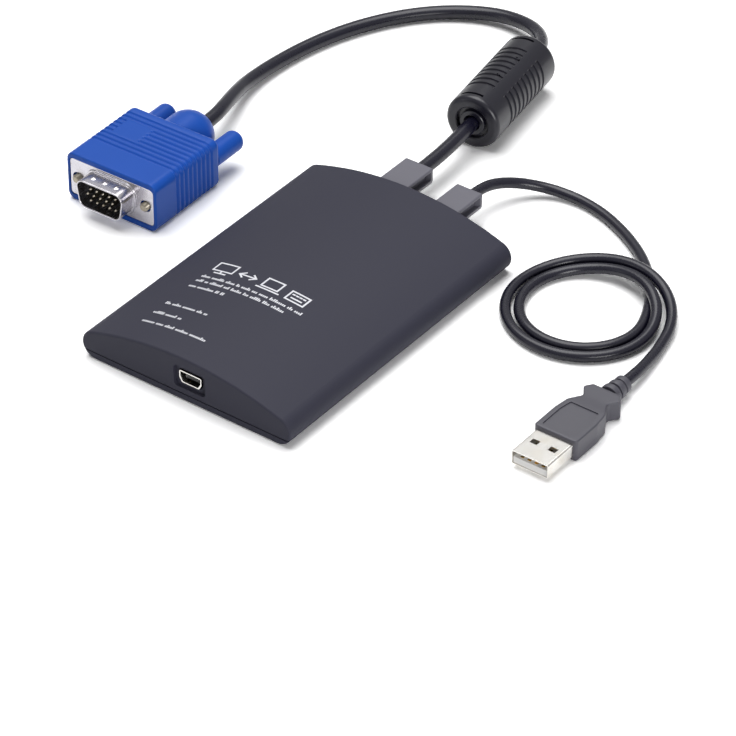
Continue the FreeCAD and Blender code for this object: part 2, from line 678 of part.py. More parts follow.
def grooves():
    """Grip grooves round the hood; some of them stop at the thumb panel on its top."""
    panel_x = -hood_width / 2 + PANEL_LEFT
    panel = block((panel_x, panel_x + PANEL_WIDTH), (0, HOOD_LENGTH), (0, hood_height))
    outer = rectangle(hood_width + GROOVE_DEPTH, hood_height + GROOVE_DEPTH, HOOD_CORNER)
    inner = rectangle(hood_width - 2 * GROOVE_DEPTH, hood_height - 2 * GROOVE_DEPTH, HOOD_CORNER)
    rings = []
    for i in range(GROOVE_COUNT):
        start = GROOVE_START + i * GROOVE_PITCH
        end = start + GROOVE_WIDTH
        ring = section_bar(outer, start, end).cut(section_bar(inner, start, end))
        rings.append(ring.cut(panel) if PANEL_FIRST <= i <= PANEL_LAST else ring)
    return rings


def vga_front_shell():
    front = FLANGE_SETBACK
    back = front + FLANGE_THICKNESS
    plate = section_bar(rectangle(flange_width, FLANGE_HEIGHT, FLANGE_CORNER), front, back)
    foot = section_bar(d_outline(D_SHEET + D_FOOT_STEP), front - D_FOOT_RISE, front)
    skirt = section_bar(d_outline(D_SHEET), front - D_REACH, front)
    bumps = []
    bump_z = D_HEIGHT / 2 + D_SHEET + DIMPLE_PROUD - DIMPLE_RADIUS
    for i in range(DIMPLES):
        x = (i - (DIMPLES - 1) / 2) * DIMPLE_PITCH
        bumps.append(Part.makeSphere(DIMPLE_RADIUS, Vector(x, front - D_REACH / 2, bump_z)))
    shell = plate.fuse([foot, skirt] + bumps)
    cuts = [section_bar(d_outline(0), front - D_REACH, back)]
    cuts += [rod(SHAFT_RADIUS + FLANGE_HOLE_GAP, front, back, x) for x in screw_offsets.values()]
    return shell.cut(cuts).removeSplitter()


pin_places = []
for row in range(PIN_ROWS):
    shift = PIN_PITCH / 4 if row == 1 else -PIN_PITCH / 4
    for column in range(PINS_PER_ROW):
        pin_places.append(((column - (PINS_PER_ROW - 1) / 2) * PIN_PITCH - shift,
                           (1 - row) * PIN_ROW_PITCH))


def vga_insulator():
    body = section_bar(d_outline(-FIT), FLANGE_SETBACK, FLANGE_SETBACK + INSULATOR_REAR)
    return body.cut([rod(PIN_RADIUS, FLANGE_SETBACK, FLANGE_SETBACK + INSULATOR_REAR, x, z)
                     for x, z in pin_places])


def vga_pins():
    tip, end = FLANGE_SETBACK - PIN_REACH, FLANGE_SETBACK + INSULATOR_REAR
    profile = [(0, tip), (PIN_RADIUS - PIN_POINT / 2, tip), (PIN_RADIUS, tip + PIN_POINT), (PIN_RADIUS, end),
               (0, end)]
    return Part.makeCompound([turned(profile, x, z) for x, z in pin_places])


knob_front = HOOD_LENGTH + KNOB_GAP


def thumbscrew_shaft(x):
    tip, end = -SHAFT_PROUD, knob_front + SHAFT_IN_KNOB
    profile = [(0, tip), (SHAFT_RADIUS - SHAFT_POINT, tip), (SHAFT_RADIUS, tip + SHAFT_POINT),
               (SHAFT_RADIUS, end), (0, end)]
    return turned(profile, x)


def thumbscrew_knob(x):
    end = knob_front + KNOB_LENGTH
    knob = rod(KNOB_RADIUS, knob_front, end, x)
    knob = knob.makeFillet(KNOB_END, [e for e in knob.Edges if e.BoundBox.YMin > end - FIT])
    knob = knob.makeChamfer(KNOB_BEVEL, [e for e in knob.Edges if e.BoundBox.YMax < knob_front + FIT])
    return knob.cut(rod(SHAFT_RADIUS, knob_front, knob_front + SHAFT_IN_KNOB, x))


# USB plug, built with the middle of the grip's front face at the origin

def usb_plug_shell():
    outer = rectangle(USB_SHELL_WIDTH, USB_SHELL_HEIGHT, USB_SHELL_CORNER)
    inner = rectangle(USB_SHELL_WIDTH - 2 * USB_SHELL_SHEET, USB_SHELL_HEIGHT - 2 * USB_SHELL_SHEET,
                      USB_SHELL_CORNER - USB_SHELL_SHEET)
    tube = section_bar(outer, -USB_SHELL_REACH, USB_SHELL_IN_GRIP)
    tube = tube.cut(section_bar(inner, -USB_SHELL_REACH, USB_SHELL_IN_GRIP))
    y = USB_WINDOW_FROM_RIM - USB_SHELL_REACH
    windows = []
    for side in (-1, 1):
        x = side * USB_WINDOW_SPACING / 2
        windows.append(block((x - USB_WINDOW_WIDTH / 2, x + USB_WINDOW_WIDTH / 2),
                             (y - USB_WINDOW_LENGTH / 2, y + USB_WINDOW_LENGTH / 2),
                             (-USB_SHELL_HEIGHT, USB_SHELL_HEIGHT)))
    return tube.cut(windows)


insert_foot = -USB_SHELL_HEIGHT / 2 + USB_SHELL_SHEET
insert_top = insert_foot + USB_INSERT_THICKNESS
insert_front = -USB_SHELL_REACH + USB_INSERT_SETBACK


def usb_plug_insert():
    half = USB_SHELL_WIDTH / 2 - USB_SHELL_SHEET - FIT
    corner = USB_SHELL_CORNER - USB_SHELL_SHEET
    corners = [(-half, insert_foot, corner), (half, insert_foot, corner), (half, insert_top, 0),
               (-half, insert_top, 0)]
    return section_bar(corners, insert_front, USB_SHELL_IN_GRIP)


def usb_plug_contacts():
    strips = []
    start = insert_front + USB_CONTACT_SETBACK
    levels = (insert_top, insert_top + CONTACT_THICKNESS)
    for i in range(USB_CONTACTS):
        x = (i - (USB_CONTACTS - 1) / 2) * USB_CONTACT_PITCH
        strips.append(block((x - USB_CONTACT_WIDTH / 2, x + USB_CONTACT_WIDTH / 2),
                            (start, start + USB_CONTACT_LENGTH), levels))
    return Part.makeCompound(strips)


def usb_plug_grip():
    """Moulded grip: plan outline with a waist and ears, cut by a side outline, and a ribbed strain relief."""
    plan = mirrored_plan([(GRIP_WIDTH / 2, 0, GRIP_CORNER), (GRIP_WIDTH / 2, GRIP_BLOCK, GRIP_BLOCK_BEND),
                          (GRIP_SHOULDER_WIDTH / 2, GRIP_SHOULDER, GRIP_SHOULDER_BEND),
                          (GRIP_WAIST_WIDTH / 2, GRIP_WAIST, GRIP_WAIST_BEND),
                          (GRIP_EAR_WIDTH / 2, GRIP_EAR, GRIP_EAR_BEND),
                          (GRIP_END_WIDTH / 2, GRIP_END, GRIP_EAR_BEND)])
    body = plan_slab(plan, -GRIP_HEIGHT / 2, GRIP_HEIGHT / 2)
    front, rear, bend = GRIP_HEIGHT / 2, GRIP_REAR_HEIGHT / 2, GRIP_SIDE_BEND
    side = [(0, -front, 0), (GRIP_SHOULDER, -front, bend), (GRIP_WAIST, -rear, bend), (GRIP_END, -rear, 0),
            (GRIP_END, rear, 0), (GRIP_WAIST, rear, bend), (GRIP_SHOULDER, front, bend), (0, front, 0)]
    face = Part.Face(rounded_wire(side))
    face.rotate(Vector(), Vector(1, 1, 1), 120)
    face.translate(Vector(-GRIP_WIDTH, 0, 0))
    body = body.common(face.extrude(Vector(2 * GRIP_WIDTH, 0, 0)))
    half = GRIP_WIDTH / 2 - GRIP_PANEL_INSET
    rear_half = GRIP_SHOULDER_WIDTH / 2 - GRIP_PANEL_INSET
    panel = mirrored_plan([(half, GRIP_PANEL_START, GRIP_PANEL_CORNER), (half, GRIP_BLOCK, 0),
                           (rear_half, GRIP_SHOULDER - GRIP_PANEL_INSET / 2, GRIP_PANEL_CORNER)])
    body = body.cut(plan_slab(panel, GRIP_HEIGHT / 2 - GRIP_PANEL_DEPTH, GRIP_HEIGHT))
    relief = [rod(RELIEF_CORE_RADIUS, GRIP_END, relief_end)]
    for i in range(RELIEF_RINGS):
        start = GRIP_END + i * RELIEF_PITCH
        ring_start = start + RELIEF_PITCH - RELIEF_RING_LENGTH
        ring = rod(RELIEF_RADIUS - i * RELIEF_TAPER, ring_start, ring_start + RELIEF_RING_LENGTH)
        relief.append(ring.makeChamfer(RELIEF_RING_BEVEL, [e for e in ring.Edges if e.isClosed()]))
    body = body.fuse(relief)
    pocket = rectangle(USB_SHELL_WIDTH, USB_SHELL_HEIGHT, USB_SHELL_CORNER)
    return body.cut(section_bar(pocket, 0, USB_SHELL_IN_GRIP)).removeSplitter()


# Cables

def cable(name, route, diameter):
    """A tube of straight runs joined by tangent arcs, each arc as large as its two runs allow."""
    points = [Vector(*p) for p in route]
    edges, radii, last = [], [], points[0]
    for before, here, after in zip(points, points[1:], points[2:]):
        back, on = before - here, after - here
        reach = 0.45 * min(back.Length, on.Length)
        back.normalize()
        on.normalize()
        half_turn = (math.pi - back.getAngle(on)) / 2
        radius = reach / math.tan(half_turn)
        radii.append(radius)
        middle = here + (back + on).normalize() * (radius / math.cos(half_turn) - radius)
        edges.append(Part.LineSegment(last, here + back * reach).toShape())
        edges.append(Part.Arc(here + back * reach, middle, here + on * reach).toShape())
        last = here + on * reach
    edges.append(Part.LineSegment(last, points[-1]).toShape())
    path = Part.Wire(edges)
    ring = Part.Wire(Part.makeCircle(diameter / 2, points[0], points[1] - points[0]))
    tube = path.makePipe(Part.Face(ring))
    expected = math.pi * diameter ** 2 / 4 * path.Length
    print(name, "length", round(path.Length, 1), "tightest radius in diameters",
          round(min(radii) / diameter, 2), "volume against section times length",
          round(tube.Volume / expected, 4))
    return tube


def on_plug_axis(x, y, z, yaw, reach):
    """A point behind a plug, on its own axis."""
    angle = math.radians(yaw)
    return (x - reach * math.sin(angle), y + reach * math.cos(angle), z)


vga_route = [
    on_plug_axis(VGA_BOOT_X, case_back, BOOT_AXIS_Z, 0, VGA_BOOT_REACH),
    on_plug_axis(VGA_BOOT_X, case_back, BOOT_AXIS_Z, 0, VGA_BOOT_REACH + CABLE_LEAD),
    (-8.3, 82.0, 8.2), (-9.5, 94.5, 8.6),
    on_plug_axis(FERRITE_X, FERRITE_Y, FERRITE_RADIUS, FERRITE_YAW, 0),
    (-16.8, 140.0, 8.5), (-20.8, 149.6, 7.0), (-29.8, 157.0, 4.9), (-43.2, 159.0, 3.2), (-57.0, 152.8, 2.4),
    (-67.6, 142.0, 2.3), (-75.6, 128.0, 2.3), (-80.7, 112.5, 2.3), (-82.9, 96.5, 2.5), (-82.4, 81.0, 3.6),
    (-78.6, 69.5, 6.3), (-75.3, 60.2, 7.9),
    on_plug_axis(VGA_X, VGA_Y, vga_axis_z, VGA_YAW, dome_end + CABLE_LEAD),
    on_plug_axis(VGA_X, VGA_Y, vga_axis_z, VGA_YAW, dome_end)]


usb_lying_z = USB_CABLE_DIAMETER / 2 + FLOOR_GAP


def coil_points():
    """Two loose turns, clockwise and growing, that rise over the incoming lead at each crossing."""
    points = []
    for i in range(COIL_POINTS):
        angle = COIL_START_ANGLE - i * COIL_STEP
        steps_away = min(abs(angle - crossing) for crossing in COIL_CROSSINGS) / COIL_STEP
        lift = min(1.0, max(0.0, 1.0 - COIL_HUMP_SLOPE * (steps_away - 0.5)))
        radius = COIL_START_RADIUS + COIL_GROWTH * i * COIL_STEP / 360 - COIL_DRAW_IN * lift
        height = usb_lying_z + COIL_HUMP * lift
        points.append((COIL_X + radius * math.cos(math.radians(angle)),
                       COIL_Y + radius * math.sin(math.radians(angle)), height))
    return points


usb_route = [
    on_plug_axis(USB_BOOT_X, case_back, BOOT_AXIS_Z, 0, USB_BOOT_REACH),
    on_plug_axis(USB_BOOT_X, case_back, BOOT_AXIS_Z, 0, USB_BOOT_REACH + CABLE_LEAD),
    (12.7, 77.6, 7.0), (16.6, 84.6, 4.8), (23.4, 89.8, 2.7), (32.0, 91.5, 1.75), (41.2, 90.0, 1.7),
    (49.8, 86.6, 1.7), (57.8, 82.2, 1.7), (65.2, 76.8, 1.7), (72.0, 69.6, 1.7), (78.0, 61.0, 1.7)]
usb_route += coil_points()
usb_route += [
    (92.2, 43.5, 1.8), (93.4, 36.4, 2.3), (94.2, 31.2, 3.0),
    on_plug_axis(USB_X, USB_Y, usb_axis_z, 0, relief_end + CABLE_LEAD),
    on_plug_axis(USB_X, USB_Y, usb_axis_z, 0, relief_end)]

# Housing and board
export("top_cover", top_cover())
export("bottom_cover", bottom_cover())
export("case_screws", case_screws())
export("main_board", main_board())
export("video_digitizer_chip", chip(VIDEO_CHIP, VIDEO_CHIP_AT))
export("usb_bridge_chip", chip(BRIDGE_CHIP, BRIDGE_CHIP_AT))
export("memory_chip", chip(MEMORY_CHIP, MEMORY_CHIP_AT))
export("crystal_can", crystal_can())
export("capacitors", capacitors())
export("vga_wire_header", wire_header(VGA_BOOT_X, VGA_WIRE_COUNT))
export("usb_wire_header", wire_header(USB_BOOT_X, USB_WIRE_COUNT))
export("vga_wires", wires(VGA_BOOT_X, VGA_WIRE_COUNT))
export("usb_wires", wires(USB_BOOT_X, USB_WIRE_COUNT))
export("mini_usb_shell", mini_usb_shell())
export("mini_usb_insert", mini_usb_insert())
export("mini_usb_contacts", mini_usb_contacts())

# Cables and what is moulded on them
export("vga_cable_boot", cable_boot(VGA_BOOT_X, VGA_BOOT_WIDTH, VGA_BOOT_REACH))
export("usb_cable_boot", cable_boot(USB_BOOT_X, USB_BOOT_WIDTH, USB_BOOT_REACH))
export("vga_cable", cable("vga_cable", vga_route, VGA_CABLE_DIAMETER))
export("usb_cable", cable("usb_cable", usb_route, USB_CABLE_DIAMETER))
for name, piece in (("ferrite_cover", ferrite_cover()), ("ferrite_core", ferrite_core())):
    export(name, laid(piece, FERRITE_X, FERRITE_Y, FERRITE_RADIUS, FERRITE_YAW))

# VGA plug
vga_pieces = {"vga_hood": vga_hood(), "vga_front_shell": vga_front_shell(), "vga_insulator": vga_insulator(),
              "vga_pins": vga_pins()}
for side, x in screw_offsets.items():
    vga_pieces[side + "_thumbscrew_shaft"] = thumbscrew_shaft(x)
    vga_pieces[side + "_thumbscrew_knob"] = thumbscrew_knob(x)
for name, piece in vga_pieces.items():
    export(name, laid(piece, VGA_X, VGA_Y, vga_axis_z, VGA_YAW))

# USB plug
usb_pieces = {"usb_plug_shell": usb_plug_shell(), "usb_plug_insert": usb_plug_insert(),
              "usb_plug_contacts": usb_plug_contacts(), "usb_plug_grip": usb_plug_grip()}
for name, piece in usb_pieces.items():
    export(name, laid(piece, USB_X, USB_Y, usb_axis_z))
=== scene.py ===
# %% [markdown]
# A crash cart adapter lies on a white table: a flat dark housing with a small socket in its front end, a
# blue video plug on a cable with a ringed choke, and a USB plug on a thinner cable that lies in two loose
# turns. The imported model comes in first. It gives the sizes and places of all pieces, so what is made here
# needs no fitting. Blender works in metres, and MM turns the millimetres below into them.

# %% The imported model
import json
import math
import random

import bmesh
import bpy
from mathutils import Matrix, Vector


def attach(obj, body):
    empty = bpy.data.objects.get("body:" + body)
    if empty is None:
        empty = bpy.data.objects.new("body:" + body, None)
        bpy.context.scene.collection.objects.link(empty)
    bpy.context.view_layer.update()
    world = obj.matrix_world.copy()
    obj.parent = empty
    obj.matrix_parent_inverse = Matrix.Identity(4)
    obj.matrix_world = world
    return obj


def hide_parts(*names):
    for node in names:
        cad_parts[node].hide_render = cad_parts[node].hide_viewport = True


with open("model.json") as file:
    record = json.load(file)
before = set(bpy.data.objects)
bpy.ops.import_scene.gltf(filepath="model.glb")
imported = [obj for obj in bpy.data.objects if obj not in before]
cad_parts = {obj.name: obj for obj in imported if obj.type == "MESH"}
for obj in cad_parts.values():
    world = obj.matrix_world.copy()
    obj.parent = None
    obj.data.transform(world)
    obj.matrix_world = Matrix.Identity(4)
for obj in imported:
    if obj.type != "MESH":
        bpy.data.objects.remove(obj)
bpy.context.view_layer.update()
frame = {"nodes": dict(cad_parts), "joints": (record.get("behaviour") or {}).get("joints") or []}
MM = 0.001
scene = bpy.context.scene
nodes = frame["nodes"]

# %% [markdown]
# The camera stands where the photographer stood: to the right of the socket end, looking down at about 37
# degrees. A short lens close by would draw the housing's far end much narrower than its front. A long lens
# from far away keeps its long sides nearly parallel, as they are in the photograph.

# %% Camera
CAMERA_AZIMUTH = math.radians(36.76)
CAMERA_ELEVATION = math.radians(36.72)
CAMERA_DISTANCE = 1164.51 * MM
CAMERA_AIM = Vector((31.14, -9.69, 0.0)) * MM
SENSOR_WIDTH = 36.0
FOCAL_PIXELS = 4200.0
FRAME_PIXELS = 736.0
FAR_CLIP = 20.0


def add_object(name, data):
    """A new object with its data, linked into the scene."""
    made = bpy.data.objects.new(name, data)
    scene.collection.objects.link(made)
    return made


def aim(thing, place):
    """Stands a camera or a lamp at a place and turns it to the middle of the object."""
    thing.location = place
    thing.rotation_euler = (CAMERA_AIM - place).to_track_quat("-Z", "Y").to_euler()


camera_data = bpy.data.cameras.new("camera")
camera_data.sensor_width = SENSOR_WIDTH
camera_data.lens = SENSOR_WIDTH * FOCAL_PIXELS / FRAME_PIXELS
camera_data.clip_end = FAR_CLIP
level = math.cos(CAMERA_ELEVATION)
backward = Vector((level * math.sin(CAMERA_AZIMUTH), -level * math.cos(CAMERA_AZIMUTH),
                   math.sin(CAMERA_ELEVATION)))
scene.camera = add_object("camera", camera_data)
aim(scene.camera, CAMERA_AIM + CAMERA_DISTANCE * backward)
scene.view_settings.view_transform = "Standard"
print("lens in mm:", round(camera_data.lens, 1))

# %% [markdown]
# Materials, the world and the geometry trees are all made of nodes. Small helpers keep those recipes short:
# one adds a node and fills or links its inputs, one adds a step of arithmetic, and one turns a colour as it
# is seen on the screen into the linear colour that Blender mixes.


# %% Node helpers
def add(tree, kind, inputs=None, **settings):
    """One node with its settings. An input is either a plain value or another node's output."""
    made = tree.nodes.new(kind)
    for key, value in settings.items():
        setattr(made, key, value)
    for key, value in (inputs or {}).items():
        if isinstance(value, bpy.types.NodeSocket):
            tree.links.new(value, made.inputs[key])
        else:
            made.inputs[key].default_value = value
    return made


def calc(tree, operation, *values):
    """One step of arithmetic on numbers or outputs."""
    return add(tree, "ShaderNodeMath", dict(enumerate(values)), operation=operation).outputs[0]


def srgb(red, green, blue):
    """A colour as seen on the screen, 0 to 255, as Blender's linear colour."""
    shares = [v / 255 for v in (red, green, blue)]
    return (*[s / 12.92 if s < 0.04045 else ((s + 0.055) / 1.055) ** 2.4 for s in shares], 1.0)


print("half of the screen's white is linear", round(srgb(128, 128, 128)[0], 3))

# %% [markdown]
# The photograph has soft light from above, which leaves dark, narrow shadows where things touch the table.
# A plain grey world would light the undersides as well, so the world is a dome: bright overhead and dim
# near the horizon. Shiny pieces see it brighter than it lights the rest, and they mirror a round skylight
# at its top, which draws the pale streaks along the cables.

# %% World
DOME_LIGHT = 0.12
DOME_EDGE_SHARE = 0.05
DOME_EDGE_HEIGHT, DOME_TOP_HEIGHT = 0.05, 0.6
DOME_SEEN_EDGE, DOME_SEEN_TOP = 0.45, 0.72
SKYLIGHT = 1.2
SKYLIGHT_EDGE, SKYLIGHT_FULL = 0.87, 0.94


def empty_tree(owner):
    """The node tree of a world or a material, without the nodes that Blender puts there at first."""
    owner.use_nodes = True
    owner.node_tree.nodes.clear()
    return owner.node_tree


def ramp(tree, value, start, end, first, last, **settings):
    """A number that goes from first to last while a value goes from start to end."""
    spread = {"Value": value, "From Min": start, "From Max": end, "To Min": first, "To Max": last}
    return add(tree, "ShaderNodeMapRange", spread, **settings).outputs[0]


def seen_directly(tree):
    """1 for rays from the camera, and for mirrored or transmitted ones."""
    path = add(tree, "ShaderNodeLightPath").outputs
    shiny = calc(tree, "MAXIMUM", path["Is Glossy Ray"], path["Is Transmission Ray"])
    return calc(tree, "MAXIMUM", path["Is Camera Ray"], shiny)


def make_world():
    world = bpy.data.worlds.new("studio")
    tree = empty_tree(world)
    towards = add(tree, "ShaderNodeTexCoord").outputs["Generated"]
    height = add(tree, "ShaderNodeSeparateXYZ", {0: towards}).outputs["Z"]
    lit = ramp(tree, height, DOME_EDGE_HEIGHT, DOME_TOP_HEIGHT, DOME_LIGHT * DOME_EDGE_SHARE, DOME_LIGHT)
    dome = ramp(tree, height, 0.0, DOME_TOP_HEIGHT, DOME_SEEN_EDGE, DOME_SEEN_TOP)
    window = ramp(tree, height, SKYLIGHT_EDGE, SKYLIGHT_FULL, 0.0, SKYLIGHT)
    shown = calc(tree, "ADD", dome, window)
    strength = add(tree, "ShaderNodeMix", {"Factor": seen_directly(tree), "A": lit, "B": shown})
    light = add(tree, "ShaderNodeBackground",
                {"Color": (1, 1, 1, 1), "Strength": strength.outputs["Result"]})
    add(tree, "ShaderNodeOutputWorld", {"Surface": light.outputs[0]})
    return world


scene.world = make_world()
print("world nodes:", len(scene.world.node_tree.nodes))

# %% [markdown]
# The table is white paper. Under this light real paper would come out pale grey, and more light would wash
# the object out. So rays from the camera and from shiny pieces see the paper brighter than it lights the
# object: it reads as plain white and still keeps the shadows.

# %% Table
PAPER_WHITE, PAPER_SEEN = 0.5, 1.45
FLOOR_SIZE = 6.0
FLOOR_DROP = 0.02 * MM


def make_floor():
    half = FLOOR_SIZE / 2
    corners = [(-half, -half), (half, -half), (half, half), (-half, half)]
    mesh = bpy.data.meshes.new("floor")
    mesh.from_pydata([(x, y, -FLOOR_DROP) for x, y in corners], [], [(0, 1, 2, 3)])
    paper = bpy.data.materials.new("white_sweep")
    tree = empty_tree(paper)
    white = calc(tree, "MULTIPLY_ADD", seen_directly(tree), PAPER_SEEN - PAPER_WHITE, PAPER_WHITE)
    matt = add(tree, "ShaderNodeBsdfDiffuse", {"Color": white})
    add(tree, "ShaderNodeOutputMaterial", {"Surface": matt.outputs[0]})
    mesh.materials.append(paper)
    return add_object("floor", mesh)


floor = make_floor()
print("table in m:", FLOOR_SIZE)

# %% [markdown]
# Three square lamps stand for the studio's softboxes. Point or sun lamps would draw hard shadows, and area
# lamps draw soft ones. The large lamp hangs above the object, a little behind it and to its left. Two low
# lamps in front open up the sides: a faint one on the left and a stronger one on the right.

# %% Lamps
# Each lamp has a name, a place and an edge in metres, and a power in watts.
LAMPS = [("overhead", (-0.28, 0.24, 1.18), 1.1, 17.0), ("left_fill", (-0.8, -1.1, 0.22), 0.6, 1.5),
         ("right_fill", (1.1, -0.6, 0.28), 0.6, 10.0)]

for name, place, size, power in LAMPS:
    softbox = bpy.data.lights.new(name, "AREA")
    softbox.shape = "SQUARE"
    softbox.size = size
    softbox.energy = power
    aim(add_object(name, softbox), Vector(place))
print("lamps:", [lamp[0] for lamp in LAMPS])

# %% [markdown]
# Moulded plastic is never one flat colour. Its tool leaves a fine grain, the colour drifts a little over
# the part, and the gloss changes with both. Each material could hold its own nodes for that, but then a
# change has to be made many times. Here a node group holds the recipe once, and each plastic brings its own
# values to its named inputs.

# %% Moulded plastic
FLOAT, COLOUR, VECTOR = "NodeSocketFloat", "NodeSocketColor", "NodeSocketVector"
FINISH_OUTPUTS = [("Color", COLOUR), ("Roughness", FLOAT), ("Normal", VECTOR)]
DRIFT_SCALE = 55.0
DRIFT_BROAD, DRIFT_FINE = 0.6, 0.4
CELL_SHARE = 0.5


def group(kind, name, inputs, outputs):
    """An empty node group with named inputs (name, type, value) and outputs (name, type)."""
    tree = bpy.data.node_groups.new(name, kind)
    for label, socket_type, value in inputs:
        socket = tree.interface.new_socket(label, in_out="INPUT", socket_type=socket_type)
        if value is not None:
            socket.default_value = value
    for label, socket_type in outputs:
        tree.interface.new_socket(label, in_out="OUTPUT", socket_type=socket_type)
    return tree, tree.nodes.new("NodeGroupInput").outputs, tree.nodes.new("NodeGroupOutput").inputs


def noise(tree, place, scale, detail):
    """A cloudy pattern between 0 and 1."""
    clouds = {"Vector": place, "Scale": scale, "Detail": detail}
    return add(tree, "ShaderNodeTexNoise", clouds).outputs[0]


def end_finish(tree, given, out, colour, swing, relief, depth):
    """The last steps of a shared finish: its colour, a gloss about its level, and a fine relief."""
    gloss = calc(tree, "MULTIPLY_ADD", swing, given["Gloss Drift"], given["Roughness"])
    bump = add(tree, "ShaderNodeBump", {"Height": relief, "Distance": depth})
    for name, value in (("Color", colour), ("Roughness", gloss), ("Normal", bump.outputs[0])):
        tree.links.new(value, out[name])
    return tree


def moulded_group():
    tree, given, out = group("ShaderNodeTree", "moulded_grain", [
        ("Color", COLOUR, (0.1, 0.1, 0.1, 1)), ("Drift", FLOAT, 0.1), ("Grain Scale", FLOAT, 2500.0),
        ("Grain Depth", FLOAT, 0.00001), ("Roughness", FLOAT, 0.5), ("Gloss Drift", FLOAT, 0.1)],
        FINISH_OUTPUTS)
    place = add(tree, "ShaderNodeTexCoord").outputs["Object"]
    broad = noise(tree, place, DRIFT_SCALE, 3.0)
    fine = noise(tree, place, given["Grain Scale"], 2.0)
    cells = add(tree, "ShaderNodeTexVoronoi", {"Vector": place, "Scale": given["Grain Scale"]}).outputs[0]
    grain = calc(tree, "MULTIPLY_ADD", cells, CELL_SHARE, fine)
    both = calc(tree, "MULTIPLY_ADD", broad, DRIFT_BROAD, calc(tree, "MULTIPLY", fine, DRIFT_FINE))
    swing = calc(tree, "SUBTRACT", both, 0.5)
    value = calc(tree, "MULTIPLY_ADD", swing, given["Drift"], 1.0)
    toned = add(tree, "ShaderNodeHueSaturation", {"Color": given["Color"], "Value": value}).outputs[0]
    return end_finish(tree, given, out, toned, swing, grain, given["Grain Depth"])


MOULDED = moulded_group()
print("moulded finish nodes:", len(MOULDED.nodes))

# %% [markdown]
# The connectors are rolled sheet with a thin plating. Rolling leaves faint lines along the sheet, and the
# plating is warmer in some patches and glossier in others. A picture of scratched metal could show that,
# but a pattern made of noise has no seams and can be as fine as it needs to be. One stretched noise gives
# the lines, one the patches.

# %% Plated metal
ROLLING_STRETCH = (4000.0, 160.0, 4000.0)
PATCH_SCALE = 220.0
PATCH_EDGE, PATCH_FULL = 0.45, 0.75


def plated_group():
    tree, given, out = group("ShaderNodeTree", "plated_sheet", [
        ("Color", COLOUR, (0.7, 0.7, 0.7, 1)), ("Patch Color", COLOUR, (0.6, 0.55, 0.45, 1)),
        ("Patches", FLOAT, 0.3), ("Line Depth", FLOAT, 0.000004), ("Roughness", FLOAT, 0.2),
        ("Gloss Drift", FLOAT, 0.2)], FINISH_OUTPUTS)
    place = add(tree, "ShaderNodeTexCoord").outputs["Object"]
    stretched = add(tree, "ShaderNodeMapping", {"Vector": place, "Scale": ROLLING_STRETCH}).outputs[0]
    lines = noise(tree, stretched, 1.0, 2.0)
    broad = noise(tree, place, PATCH_SCALE, 4.0)
    patch = calc(tree, "MULTIPLY", ramp(tree, broad, PATCH_EDGE, PATCH_FULL, 0.0, 1.0), given["Patches"])
    mixed = add(tree, "ShaderNodeMix", {"Factor": patch, "A": given["Color"], "B": given["Patch Color"]},
                data_type="RGBA").outputs["Result"]
    both = calc(tree, "MULTIPLY_ADD", lines, 0.5, calc(tree, "MULTIPLY", broad, 0.5))
    swing = calc(tree, "SUBTRACT", both, 0.5)
    return end_finish(tree, given, out, mixed, swing, lines, given["Line Depth"])


PLATED = plated_group()
print("plated finish nodes:", len(PLATED.nodes))

# %% [markdown]
# Each finish on the object gets its own values: the housing is a soft slate grey with a fine spark-eroded
# grain, the boots and the USB grip are greyer and smoother, the cables are near-black vinyl with a slight
# shine, and the video plug's hood is a bright smooth blue. The connectors are nickel, duller on the
# deep-drawn video plug, and their contacts gold. What is the same all over a piece goes straight to its
# shader.


# %% Finishes of this object
def finish(name, shared, values, constants):
    """A material: a shared group feeds colour, roughness and normal, and constants are set on the shader."""
    material = bpy.data.materials.new(name)
    tree = empty_tree(material)
    effect = add(tree, "ShaderNodeGroup", values, node_tree=shared).outputs
    fed = {"Base Color": effect["Color"], "Roughness": effect["Roughness"], "Normal": effect["Normal"]}
    shader = add(tree, "ShaderNodeBsdfPrincipled", {**fed, **constants})
    add(tree, "ShaderNodeOutputMaterial", {"Surface": shader.outputs[0]})
    return material


def plastic(name, colour, drift, grain, depth, roughness, gloss_drift, specular=0.5):
    return finish(name, MOULDED, {
        "Color": srgb(*colour), "Drift": drift, "Grain Scale": grain, "Grain Depth": depth * MM,
        "Roughness": roughness, "Gloss Drift": gloss_drift}, {"Specular IOR Level": specular})


def metal(name, colour, patch, patches, line_depth, roughness, gloss_drift):
    return finish(name, PLATED, {
        "Color": srgb(*colour), "Patch Color": srgb(*patch), "Patches": patches,
        "Line Depth": line_depth * MM, "Roughness": roughness, "Gloss Drift": gloss_drift}, {"Metallic": 1.0})


